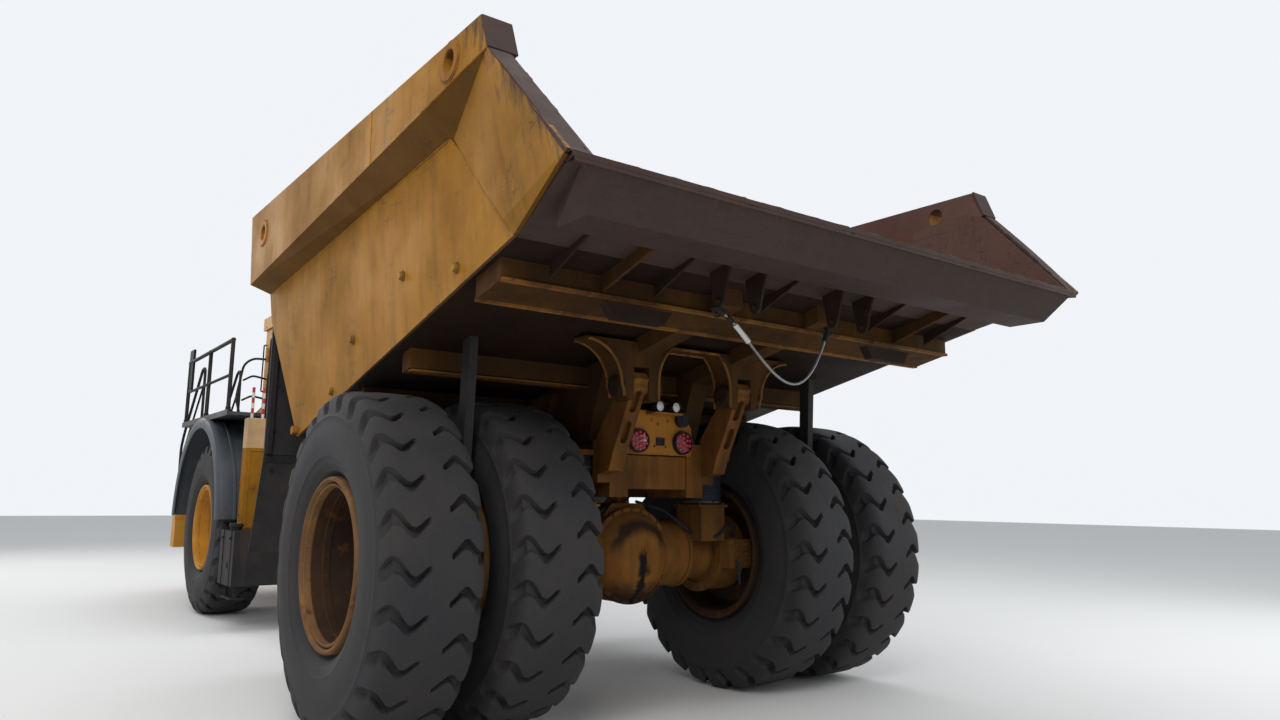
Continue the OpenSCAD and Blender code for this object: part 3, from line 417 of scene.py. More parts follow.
def facingGroup(name, axis, limit):
    # white on plate that was laid facing down, or ahead
    graph, given, result = startGroup(name, {"Limit": limit}, "Mask")
    facing = graph.node("NewGeometry").outputs["True Normal"]
    turned = graph.node("VectorTransform", {0: facing}, vector_type="NORMAL", convert_from="WORLD",
                        convert_to="OBJECT").outputs[0]
    graph.join(graph.math("LESS_THAN", graph.axes(turned)[axis], given["Limit"]), result["Mask"])


def insideGroup():
    # white between the planes of the leaning side walls, where the load has worn the paint off
    graph, given, result = startGroup("inside", {"Skin": 0.008}, "Mask")
    spot = graph.spot()
    axes = graph.axes(spot)
    wall = graph.minus(wallHalf - wallLean * wallTop, given["Skin"])
    wall = graph.plus(wall, graph.times(axes[2], wallLean))
    wall = graph.plus(wall, graph.wobble(graph.noise(spot, 9.0, 6.0), 0.006))
    deep = graph.minus(wall, graph.math("ABSOLUTE", axes[0]))
    graph.join(graph.range(deep, 0.0, 0.003), result["Mask"])


edgeGroup()
grimeGroup()
scratchGroup()
rustGroup()
insideGroup()
facingGroup("under", 2, -0.75)
facingGroup("ahead", 1, -0.60)
heightGroup("tankTop", 1.0925, 1.0935)


def startMaterial(name, metallic=0.0, roughness=0.5, sheen=0.5):
    material = bpy.data.materials.new(name)
    material.use_nodes = True
    shader = material.node_tree.nodes["Principled BSDF"].inputs
    shader["Metallic"].default_value = metallic
    shader["Roughness"].default_value = roughness
    shader["Specular IOR Level"].default_value = sheen
    return material, Graph(material.node_tree), shader


def paintOf(material):
    # the tree of a painted material, its shader's inputs, and the colour that it has so far
    shader = material.node_tree.nodes["Principled BSDF"].inputs
    return Graph(material.node_tree), shader, shader["Base Color"].links[0].from_socket


# colour, mud over it, how much mud, rust, scratches and bare edges, and the coat's gloss
paintKeys = ("colour", "mud", "dirt", "rust", "scratch", "edge", "sheen")
paintRows = {
    "bodyYellow": ((0.355, 0.158, 0.012), (0.085, 0.046, 0.018), 0.40, 0.20, 0.40, 0.30, 0.07),
    "railYellow": ((0.31, 0.180, 0.038), (0.10, 0.060, 0.030), 0.50, 0.27, 0.60, 0.50, 0.07),
    "frameYellow": ((0.36, 0.140, 0.018), (0.040, 0.022, 0.013), 0.60, 0.30, 0.30, 0.30, 0.07),
    # the body's saddle: frame yellow at half brightness, as painted shade under the body
    "saddleYellowShaded": ((0.185, 0.078, 0.010), (0.022, 0.013, 0.008), 0.66, 0.30, 0.30, 0.30, 0.07),
    "edgeYellow": ((0.40, 0.175, 0.024), (0.042, 0.026, 0.016), 0.56, 0.40, 0.40, 0.55, 0.07),
    # underside of the floor: dark dirt, darkened further as painted shade
    "floorUnderDirtAndShade": ((0.030, 0.015, 0.008), (0.012, 0.008, 0.007), 0.55, 0.25, 0.20, 0.10, 0.07),
    "axleYellow": ((0.33, 0.135, 0.018), (0.050, 0.028, 0.015), 0.58, 0.26, 0.35, 0.34, 0.07),
    "panelYellow": ((0.40, 0.165, 0.022), (0.090, 0.046, 0.018), 0.44, 0.20, 0.40, 0.34, 0.07),
    # parts under the body: dark dirt, darkened further as painted shade
    "underDirtAndShade": ((0.034, 0.018, 0.009), (0.020, 0.013, 0.010), 0.58, 0.30, 0.30, 0.20, 0.07),
    "cabYellow": ((0.50, 0.225, 0.026), (0.17, 0.10, 0.050), 0.30, 0.08, 0.30, 0.12, 0.30),
    "rimYellow": ((0.27, 0.140, 0.052), (0.050, 0.030, 0.022), 0.50, 0.36, 0.45, 0.50, 0.07),
    "rimBright": ((0.56, 0.260, 0.030), (0.12, 0.075, 0.045), 0.40, 0.20, 0.30, 0.30, 0.07),
    # rear rims' barrels and hubs: rim paint darkened as painted shade deep between the tyres
    "rimDarkShaded": ((0.105, 0.048, 0.018), (0.022, 0.017, 0.014), 0.66, 0.36, 0.30, 0.30, 0.07),
    "liner": ((0.078, 0.033, 0.028), (0.105, 0.065, 0.048), 0.46, 0.33, 0.60, 0.22, 0.07),
    "tailBrown": ((0.044, 0.029, 0.026), (0.070, 0.046, 0.036), 0.44, 0.30, 0.60, 0.26, 0.07),
    "blackSteel": ((0.016, 0.017, 0.020), (0.075, 0.058, 0.045), 0.38, 0.12, 0.30, 0.16, 0.07),
}
paints = {name: dict(zip(paintKeys, row)) for name, row in paintRows.items()}


def paintMaterial(name, values, roughness=0.5):
    material, graph, shader = startMaterial(name, sheen=values["sheen"])
    grime = graph.group("grime", Scale=1.0, Amount=values["dirt"])
    scratch = graph.group("scratch", Scale=1.0, Amount=values["scratch"])
    rust = graph.group("rust", Scale=1.0, Amount=values["rust"])
    edge = graph.group("edge", Radius=0.018, Amount=values["edge"])
    faded = tuple(min(1.0, c * 1.10 + 0.004) for c in values["colour"])
    colour = graph.mix(grime["Fine"], values["colour"], faded)
    colour = graph.mix(graph.times(grime["Runs"], 0.55), colour, values["mud"])
    colour = graph.mix(graph.times(grime["Patches"], 0.75), colour, values["mud"])
    scraped = graph.times(scratch["Mask"], 0.8)
    colour = graph.mix(scraped, colour, (0.045, 0.030, 0.024))
    bare = graph.most(rust["Mask"], edge["Mask"])
    graph.join(graph.mix(bare, colour, rust["Color"]), shader["Base Color"])
    rough = graph.range(grime["Patches"], 0, 1, roughness, 0.82)
    graph.join(graph.math("ADD", rough, graph.times(bare, 0.25), clamp=True), shader["Roughness"])
    height = graph.minus(graph.times(grime["Fine"], 0.35), graph.most(bare, scraped))
    graph.bump(height, 0.35, 0.002, shader["Normal"])
    return material


def wornPaint(graph, values, rustScale, rustAmount, grimeScale, grimeAmount):
    rust = graph.group("rust", Scale=rustScale, Amount=rustAmount)
    grime = graph.group("grime", Scale=grimeScale, Amount=grimeAmount)
    worn = graph.mix(grime["Patches"], values["colour"], values["mud"])
    return graph.mix(graph.times(rust["Mask"], 0.7), worn, rust["Color"])


def bodyShellMaterial(name, outside, inside):
    # painted outside, bare and rusty inside
    material = paintMaterial(name, outside)
    graph, shader, paint = paintOf(material)
    worn = wornPaint(graph, inside, 0.8, 0.38, 0.7, 0.5)
    # dirt and painted shade under the rails, and paint rubbed off towards the wings' rear edges
    under = graph.group("under", Limit=-0.60)["Mask"]
    paint = graph.mix(graph.times(under, 0.72), paint, (0.060, 0.028, 0.008))
    spot = graph.spot()
    axes = graph.axes(spot)
    rough = graph.noise(graph.stretched(spot, (5.0, 9.0, 2.2)), 2.2, 9.0, 0.68)
    past = graph.times(graph.minus(axes[1], 5.602), 0.736)
    past = graph.plus(past, graph.times(graph.minus(axes[2], 3.690), 0.677))
    past = graph.plus(past, graph.wobble(rough, 0.85))
    rubbed = graph.times(graph.range(past, -0.10, 0.06), 0.85)
    paint = graph.mix(rubbed, paint, (0.060, 0.034, 0.026))
    graph.join(graph.mix(graph.group("inside", Skin=0.008)["Mask"], paint, worn), shader["Base Color"])
    return material


def partedMaterial(name, first, *others):
    # one paint over others, each parted by a mask
    material = paintMaterial(name, first)
    graph, shader, paint = paintOf(material)
    for second, mask in others:
        other = wornPaint(graph, second, 0.9, second["rust"], 1.0, second["dirt"])
        paint = graph.mix(graph.group(mask)["Mask"], paint, other)
    graph.join(paint, shader["Base Color"])
    return material


def bowlMaterial(name, values):
    # axle paint with a dark arc over the dome, partly dirt and partly painted shadow, an oil run below its
    # plug, and darker towards the bottom
    material = paintMaterial(name, values)
    graph, shader, paint = paintOf(material)
    spot = graph.spot()
    axes = graph.axes(spot)
    sway = graph.wobble(graph.noise(spot, 11.0, 7.0), 0.16)
    across = graph.plus(graph.minus(axes[0], 0.055), sway)
    height = graph.minus(axes[2], tyreRadius)
    reach = graph.math("SQRT", graph.plus(graph.times(across, across), graph.times(height, height)))
    # the arc over the dome: dirt with painted shadow
    bow = graph.times(graph.range(reach, 0.155, 0.215), graph.range(reach, 0.285, 0.245))
    bow = graph.times(graph.times(bow, graph.range(height, 0.02, 0.12)), 0.85)
    run = graph.range(graph.math("ABSOLUTE", across), 0.050, 0.018)
    run = graph.times(run, graph.range(height, 0.05, 0.0))
    low = graph.times(graph.range(graph.plus(height, sway), -0.16, -0.27), 0.8)
    dark = graph.most(graph.most(bow, run), low)
    graph.join(graph.mix(dark, paint, (0.010, 0.009, 0.010)), shader["Base Color"])
    return material


def rubberMaterial(name, colour, dust, dusty):
    material, graph, shader = startMaterial(name, roughness=0.85, sheen=0.25)
    grime = graph.group("grime", Scale=1.6, Amount=dusty)
    scratch = graph.group("scratch", Scale=2.2, Amount=0.5)["Mask"]
    pale = graph.mix(grime["Fine"], colour, tuple(c * 1.5 for c in colour))
    pale = graph.mix(graph.times(grime["Patches"], 0.8), pale, dust)
    pale = graph.mix(graph.times(scratch, 0.5), pale, tuple(c * 2.2 for c in colour))
    graph.join(pale, shader["Base Color"])
    graph.join(graph.range(grime["Patches"], 0, 1, 0.68, 0.95), shader["Roughness"])
    graph.bump(graph.minus(grime["Fine"], scratch), 0.5, 0.004, shader["Normal"])
    return material


def plainMaterial(name, colour, roughness=0.4, metallic=0.0, dirt=0.35, mud=(0.12, 0.085, 0.06)):
    material, graph, shader = startMaterial(name, metallic, roughness)
    grime = graph.group("grime", Scale=2.0, Amount=dirt)
    shade = graph.mix(grime["Fine"], colour, tuple(c * 0.8 for c in colour))
    graph.join(graph.mix(graph.times(grime["Patches"], 0.7), shade, mud), shader["Base Color"])
    graph.join(graph.range(grime["Patches"], 0, 1, roughness, 0.85), shader["Roughness"])
    graph.bump(grime["Fine"], 0.15, 0.002, shader["Normal"])
    return material


def glassMaterial(name):
    material, graph, shader = startMaterial(name, roughness=0.06)
    grime = graph.group("grime", Scale=1.5, Amount=0.35)["Patches"]
    graph.join(graph.mix(grime, (0.030, 0.045, 0.050), (0.16, 0.13, 0.10)), shader["Base Color"])
    graph.join(graph.range(grime, 0, 1, 0.05, 0.5), shader["Roughness"])
    shader["Alpha"].default_value = 0.34
    shader["Coat Weight"].default_value = 0.6
    return material


# colour, dust over it, how dusty
rubbers = {
    "tyre": ((0.019, 0.019, 0.021), (0.052, 0.042, 0.036), 0.36),
    "softRubber": ((0.016, 0.016, 0.018), (0.070, 0.055, 0.045), 0.36),
    "gaiter": ((0.013, 0.016, 0.024), (0.050, 0.045, 0.045), 0.30),
    "seatCloth": ((0.035, 0.035, 0.040), (0.10, 0.085, 0.07), 0.30),
}
# colour, roughness, share of metal, dirt
plains = {
    "paleYellow": ((0.62, 0.40, 0.19), 0.55, 0.0, 0.35),
    "stepSteel": ((0.075, 0.080, 0.090), 0.5, 0.4, 0.45),
    "plastic": ((0.040, 0.050, 0.064), 0.5, 0.0, 0.35, (0.085, 0.075, 0.068)),
    "chrome": ((0.75, 0.75, 0.76), 0.12, 1.0, 0.15), "castIron": ((0.075, 0.070, 0.068), 0.55, 0.4, 0.5),
    "redLens": ((0.16, 0.010, 0.018), 0.15, 0.0, 0.10), "redLamp": ((0.46, 0.030, 0.060), 0.12, 0.0, 0.05),
    "whiteLens": ((0.72, 0.74, 0.72), 0.12, 0.0, 0.2), "amberLens": ((0.75, 0.22, 0.02), 0.15, 0.0, 0.2),
    "ropeWire": ((0.30, 0.30, 0.31), 0.45, 0.7, 0.3), "paleMark": ((0.70, 0.70, 0.68), 0.35, 0.0, 0.25),
    "redMark": ((0.50, 0.03, 0.02), 0.35, 0.0, 0.25),
}
mats = {name: paintMaterial(name, values) for name, values in paints.items()}
mats.update({name: rubberMaterial(name, *row) for name, row in rubbers.items()})
mats.update({name: plainMaterial(name, *row) for name, row in plains.items()})
mats["glass"] = glassMaterial("cabGlass")
mats["bodyShell"] = bodyShellMaterial("bodyShell", paints["bodyYellow"], paints["liner"])
# the floor's down-facing faces take the dark paint, partly dirt and partly painted shade
mats["bodyFloor"] = partedMaterial("bodyFloor", paints["liner"], (paints["floorUnderDirtAndShade"], "under"),
                                   (paints["bodyYellow"], "ahead"))
mats["tankPaint"] = partedMaterial("tankPaint", paints["blackSteel"], (paints["bodyYellow"], "tankTop"))
mats["bowlPaint"] = bowlMaterial("bowlPaint", paints["axleYellow"])

finishes = {
    "frameYellow": "front_chassis front_axle hitch steer_barrel_left steer_barrel_right rear_chassis "
                   "hoist_barrel_left hoist_barrel_right",
    "chrome": "steer_rod_left steer_rod_right hoist_rod_left hoist_rod_right",
    "cabYellow": "bumper hood cab_shell cab_roof cab_door", "glass": "cab_glass door_glass",
    "castIron": "engine propshaft", "seatCloth": "cab_seat", "plastic": "fenders", "tankPaint": "side_tanks",
    "blackSteel": "handrails rock_ejectors", "whiteLens": "head_lamps", "redLens": "tail_lamps",
    "tyre": "tyre_front_left tyre_front_right tyres_rear_left tyres_rear_right",
    "rimYellow": "rim_front_left rim_front_right rim_rear_left rim_rear_right",
    "panelYellow": "tail_panel", "axleYellow": "rear_axle", "softRubber": "rear_struts rear_guards",
    "bodyFloor": "body_floor", "bodyShell": "body_sides", "tailBrown": "body_tail",
    "saddleYellowShaded": "body_frame", "ropeWire": "safety_cable",
}
for finish, names in finishes.items():
    for name in names.split():
        nodes[name].data.materials.clear()
        nodes[name].data.materials.append(mats[finish])
print("materials are made")


# Safety cable under the body, hung between two eyes, with its clamps, sleeve and shackles

cableSet = {
    "ends": (0.500, -0.500), "y": 1.640, "drop": 0.400, "radius": 0.009, "beam": 0.110, "skew": 1.6,
    "fit": 0.0003, "rings": 25, "clamps": ((0.0, 0.055, 0.018), (0.965, 1.0, 0.018), (0.085, 0.13, 0.016)),
    "sleeve": (0.15, 0.265, 0.017), "shackle": 0.030,
}


def cableAt(t):
    values = cableSet
    top = floorAt(values["y"]) - values["beam"] - values["radius"] - values["fit"]
    bent = t ** values["skew"]
    x = values["ends"][0] + (values["ends"][1] - values["ends"][0]) * t
    return Vector((x, at(values["y"]), top - 4 * values["drop"] * bent * (1 - bent)))


def makeCable(values):
    path = [cableAt(t) for t in span(0, 1, values["rings"])]
    rope = makePiece("safetyRope", Form().tube(path, values["radius"], 10), "ropeWire", "dump_body",
                     replaced=["safety_cable"])


def makeSling(values):
    # clamps, shackles and sleeve on the cable
    ends = Form()
    for start, end, radius in values["clamps"]:
        ends.tube([cableAt(t) for t in span(start, end, 7)], radius, 12)
    r = values["shackle"]
    for x, y, z in (cableAt(0), cableAt(1)):
        ends.box((x - r, y - r, z + 0.004), (x + r, y + r, z + 0.016))
        ends.bolts((x, y, z + 0.004), down, 0.034, 2, 0.008, 0.012)
        ends.tube([(a, y, c) for a, c in arc((x, z - 0.012), r, 180, 360)], 0.007, 8)
    start, end, radius = values["sleeve"]
    sleeve = Form().tube([cableAt(t) for t in span(start, end, 9)], radius, 14)
    makePiece("slingFittings", ends, "blackSteel", "dump_body", smooth=40)
    makePiece("slingSleeve", sleeve, "paleMark", "dump_body", smooth=40)


makeCable(cableSet)


# Tyres with worn rock lugs

tyreSet = {
    "lugs": 26, "depth": 0.052,
    "stations": (0.0, 0.10, 0.13, 0.155, 0.25, 0.345, 0.37, 0.40,
                 0.5, 0.60, 0.63, 0.655, 0.75, 0.845, 0.87, 0.90),
    # how deep a groove is at a distance from its middle, in pitches of the lugs
    "groove": ((0.0, 1.0), (0.10, 0.92), (0.13, 0.42), (0.155, 0.05), (0.25, 0.0), (0.5, 0.0)),
    # where the shoulder starts to lean, over what width, and what it keeps of the depth
    "edge": 0.155, "lean": (0.385, 0.07, 0.9, 0.6),
}
# half of the tread: radius, share of the width, share of the depth, bend of the groove, its breadth
tyreHalf = [
    (1.0, 0.00, 0.0, 0.13, 0.45), (1.0, 0.05, 0.0, 0.13, 0.45), (1.0, 0.088, 0.0, 0.13, 0.45),
    (0.9997, 0.105, 0.80, 0.12, 0.50), (0.9993, 0.14, 1.0, 0.05, 0.60), (0.999, 0.18, 1.0, -0.05, 0.68),
    (0.998, 0.22, 1.0, -0.12, 0.75), (0.9965, 0.26, 1.0, -0.10, 0.82), (0.9945, 0.30, 1.0, 0.02, 0.90),
    (0.991, 0.335, 1.0, 0.14, 1.0), (0.985, 0.365, 1.0, 0.21, 1.12), (0.9767, 0.394, 1.0, 0.235, 1.25),
    (0.962, 0.418, 1.0, 0.22, 1.38), (0.943, 0.434, 1.0, 0.17, 1.45), (0.920, 0.446, 0.9, 0.10, 1.45),
    (0.896, 0.455, 0.6, 0.03, 1.35), (0.876, 0.461, 0.25, -0.02, 1.2), (0.862, 0.466, 0.0, -0.04, 1.0),
]
sideWall = [
    (0.850, 0.471), (0.846, 0.476), (0.842, 0.473), (0.80, 0.486), (0.74, 0.496), (0.69, 0.496),
    (0.63, 0.480), (0.618, 0.479), (0.614, 0.473), (0.585, 0.457), (0.560, 0.436), (0.5525, 0.42),
    (0.540, 0.412), (0.530, 0.40), (0.522, 0.372), (0.5055, 0.345), (0.5045, 0.332), (0.470, 0.331),
]
# piece, body, node, and each tyre's place across, along and its turn about the axle
outerTrack = innerTrack + dualPitch
tyrePlaces = [
    ("tyreFrontLeft", "front_wheel_left", "tyre_front_left", [(frontTrack, frontY, 0.3)]),
    ("tyreFrontRight", "front_wheel_right", "tyre_front_right", [(-frontTrack, frontY, 1.1)]),
    ("tyresRearLeft", "rear_wheels_left", "tyres_rear_left",
     [(innerTrack, rearY, 0.09), (outerTrack, rearY, 0.0)]),
    ("tyresRearRight", "rear_wheels_right", "tyres_rear_right",
     [(-innerTrack, rearY, 0.02), (-outerTrack, rearY, 0.14)]),
]


def grooveDepth(away):
    for (a, high), (b, low) in zip(tyreSet["groove"], tyreSet["groove"][1:]):
        if away <= b:
            return high + (low - high) * (away - a) / (b - a)
    return 0.0


def tyreRows(values):
    # one tyre about its own middle, with the axle along x, as sections round the axle
    pitch, edge = 2 * math.pi / values["lugs"], values["edge"]
    leanStart, leanWidth, leanSide, leanKeep = values["lean"]
    section = [(-1, r, w, 0, 0, 1) for r, w in sideWall[::-1]] + [(-1, *row) for row in tyreHalf[:0:-1]]
    section += [(1, *row) for row in tyreHalf] + [(1, r, w, 0, 0, 1) for r, w in sideWall]
    rows = []
    for station in [lug + share for lug in range(values["lugs"]) for share in values["stations"]]:
        row = []
        for side, radius, width, deep, bend, breadth in section:
            # the left grooves are half a pitch from the right ones
            away = (station + (0.0 if side < 0 else 0.5)) % 1.0 - 0.5
            reach, moved = edge * breadth, away * breadth
            if abs(away) > edge:
                moved = math.copysign(reach + (abs(away) - edge) * (0.5 - reach) / (0.5 - edge), away)
            cut = deep * grooveDepth(abs(away)) * values["depth"]
            lean = min(1.0, max(0.0, (width - leanStart) / leanWidth))
            r = radius * tyreRadius - cut * (1 - leanKeep * lean)
            angle = (station + moved - away + bend * side) * pitch
            x = side * (width * tyreWidth - cut * lean * leanSide)
            row.append((x, r * math.cos(angle), r * math.sin(angle)))
        rows.append(row)
    return rows


def makeTyres():
    tyre = Form().skin(tyreRows(tyreSet), True, wrap=True)
    for name, body, node, places in tyrePlaces:
        form = Form()
        for x, y, turn in places:
            c, d = math.cos(turn), math.sin(turn)
            verts = [(x + a, y + b * c - z * d, tyreRadius + b * d + z * c) for a, b, z in tyre.verts]
            form.add(verts, tyre.faces)
        makePiece(name, form, "tyre", body, smooth=38, replaced=[node])
    print("tyres are made")


makeTyres()


# Rims: flange and lock ring, barrel, and hubs with their bolts, wedges and valve

rimSet = {
    "flange": [
        (0.5365, 0.2165), (0.536, 0.262), (0.531, 0.278), (0.522, 0.2845), (0.511, 0.2835), (0.504, 0.274),
        (0.502, 0.258), (0.497, 0.249), (0.4955, 0.257), (0.490, 0.2655), (0.481, 0.267), (0.474, 0.262),
        (0.4715, 0.250), (0.4715, 0.2205), (0.4985, 0.2165),
    ],
    "barrel": [
        (0.4985, 0.2160), (0.4715, 0.2195), (0.4705, 0.150), (0.4640, 0.145), (0.4640, 0.100),
        (0.4700, 0.095), (0.4700, -0.200), (0.4715, -0.250), (0.481, -0.267), (0.511, -0.2835),
        (0.531, -0.278), (0.5365, -0.2165), (0.4985, -0.2165),
    ],
    # circle of bolts: radius, count, bolt, height
    "capBolts": (0.165, 12, 0.011, 0.020), "rimBolts": (0.335, 20, 0.015, 0.030),
    "wedges": 12, "wedgeCircle": 0.435, "wedge": (0.045, 0.020, 0.012),
    "front": dict(y=frontY, tracks=[frontTrack], face=0.122, bolts=-0.048, wedge=-0.040, valve=0.02,
                  finish=("rimBright", "rimBright"), body="front_wheel_", hub=[
        (0.0, 0.150), (0.10, 0.148), (0.118, 0.142), (0.122, 0.131), (0.205, 0.126), (0.238, 0.118),
        (0.246, 0.104), (0.262, 0.040), (0.300, 0.030), (0.305, -0.035), (0.330, -0.052), (0.400, -0.040),
        (0.4695, -0.020), (0.4695, -0.060), (0.300, -0.110), (0.300, -0.160), (0.0, -0.160)]),
    # the rear barrels and hubs take the rim paint darkened as painted shade
    "rear": dict(y=rearY, tracks=[innerTrack, outerTrack], face=0.744, bolts=0.674, wedge=0.690, valve=0.66,
                 finish=("rimYellow", "rimDarkShaded"), body="rear_wheels_", hub=[
        (0.0, 0.772), (0.085, 0.770), (0.100, 0.764), (0.104, 0.752), (0.190, 0.748), (0.225, 0.738),
        (0.236, 0.722), (0.242, 0.700), (0.300, 0.697), (0.305, 0.678), (0.360, 0.675), (0.370, 0.700),
        (0.4690, 0.700), (0.4690, 0.662), (0.400, 0.660), (0.400, 0.030), (0.4690, 0.028), (0.4690, -0.028),
        (0.400, -0.030), (0.400, -0.080), (0.0, -0.080)]),
}


def makeRims(values):
    made = []
    for end in ("front", "rear"):
        own = values[end]
        hub = (own["tracks"][0], own["y"], tyreRadius)
        rings, barrel = Form(), Form()
        for x in own["tracks"]:
            rings.turned((x, own["y"], tyreRadius), alongX, values["flange"], 72, closed=True)
            barrel.turned((x, own["y"], tyreRadius), alongX, values["barrel"], 72, closed=True)
        barrel.turned(hub, alongX, own["hub"], 64)
        barrel.bolts(shift(hub, own["face"], 0, 0), alongX, *values["capBolts"])
        barrel.bolts(shift(hub, own["bolts"], 0, 0), alongX, *values["rimBolts"])
        long, wide, narrow = values["wedge"]
        for y, z in disc((0, 0), values["wedgeCircle"], values["wedges"]):
            spot = shift(hub, own["wedge"], y, z)
            barrel.rod(spot, shift(spot, long, 0, 0), wide, 8, narrow)
        spot = shift(hub, own["valve"], 0.30, 0.352)
        barrel.tube([spot, shift(spot, 0.06, 0, 0), shift(spot, 0.10, 0.012, 0.015)], 0.007, 8)
        made.append((end, own, rings, barrel))
    for side in ("left", "right"):
        for end, own, rings, barrel in made:
            if side == "right":
                rings, barrel = rings.flipped(), barrel.flipped()
            label, body = end.title() + side.title(), own["body"] + side
            makePiece("rimRings" + label, rings, own["finish"][0], body, smooth=40)
            makePiece("rim" + label, barrel, own["finish"][1], body, replaced=["rim_%s_%s" % (end, side)])
    print("rims are made")


makeRims(rimSet)


# Dump body: eyes, end caps, liner, worn edges, welds and studs

bodySet = {
    "eyes": ((-2.220, 3.700), (1.440, 3.785)), "eyeHole": 0.0655, "eyeRing": 0.108, "ringThick": 0.012,
    "rail": 2.219, "railInside": 2.046, "railEnd": ((1.874, 3.692), (1.794, 3.897)), "capThick": 0.008,
    "stripWide": 0.145, "stripTop": (2.217, 1.868, 3.694), "stripFoot": (2.150, 2.524, 2.968),
    "wing": [(1.22, 3.60), (1.24, 3.49), (1.54, 3.19), (1.84, 2.90), (2.44, 2.975), (2.500, 2.990),
             (1.862, 3.680), (1.70, 3.74), (1.24, 3.70)],
    "wearPlates": ((-1.93, -0.66), (-0.64, 0.64), (0.66, 1.93)), "wearStart": 0.6, "wearBend": 1.786,
    "tail": 2.53, "lipHalf": 2.11, "lipTears": (30, 31, 52, 84, 85, 103), "lipTear": 0.022,
    # radius and points of the weld beads
    "welds": (
        (0.007, ((2.042, 1.13, 3.485), (2.034, 1.48, 3.150), (2.010, 1.752, 2.885))),
        (0.006, ((2.2205, 1.085, 3.622), (2.2205, 1.868, 3.692))),
        (0.006, ((2.028, -2.52, 3.262), (2.060, 1.10, 3.492))),
        (0.004, ((2.2205, 0.30, 3.555), (2.2205, 0.28, 3.912))),
        (0.005, ((2.060, -2.672, 3.90), (2.060, -2.60, 3.28))),
    ),
    "studs": ((1.150, 2.750), (0.390, 2.850), (-0.520, 2.570), (-1.000, 2.250)),
    "stud": [(0.034, 0), (0.034, 0.005), (0.026, 0.007), (0.026, 0.026), (0.022, 0.0305), (0.0, 0.031)],
}


def bead(form, points, radius):
    # a weld bead along a line, a little uneven
    random.seed(len(form.verts) + 7)
    points = [Vector((x, at(y), z)) for x, y, z in points]
    path = []
    for a, b in zip(points, points[1:]):
        steps = max(2, int((b - a).length / 0.03))
        for i in range(steps):
            path.append([c + random.uniform(-0.0012, 0.0012) for c in a.lerp(b, i / steps)])
    form.tube(path + [points[-1]], radius, 6)


def makeLiner(values):
    # liner plates that carry the inside of the walls on to the rear edges
    liner = Form()
    wings = [[(wallAt(z) - d, at(y), z) for y, z in values["wing"]] for d in (0.003, 0.021)]
    liner.skin(wings, True, caps=True)
    # wear plates on the floor and walls, their free edges eaten away
    random.seed(5)
    y0, y1, steps = values["wearStart"], values["wearBend"], 28
    slope = (floorAt(values["tail"]) - floorAt(y1)) / (values["tail"] - y1)
    for x0, x1 in values["wearPlates"]:
        rows = []
        for x in span(x0, x1, steps + 1):
            end = 2.47 - random.uniform(0.0, 0.045) - (0.05 if random.random() < 0.12 else 0)
            bend = floorAt(y1) + 0.025
            edge = bend + slope * (end - y1)
            curl = random.uniform(0, 0.010)
            section = ((y0, floorAt(y0) + 0.024), (y0, floorAt(y0) + 0.036), (y1, bend + 0.012),
                       (end, edge + 0.012 + curl), (end, edge - 0.002))
            rows.append([(x, at(y), z) for y, z in section])
        liner.skin(rows)
    makePiece("bodyLiner", liner.mirrored(), "liner", "dump_body", smooth=20)


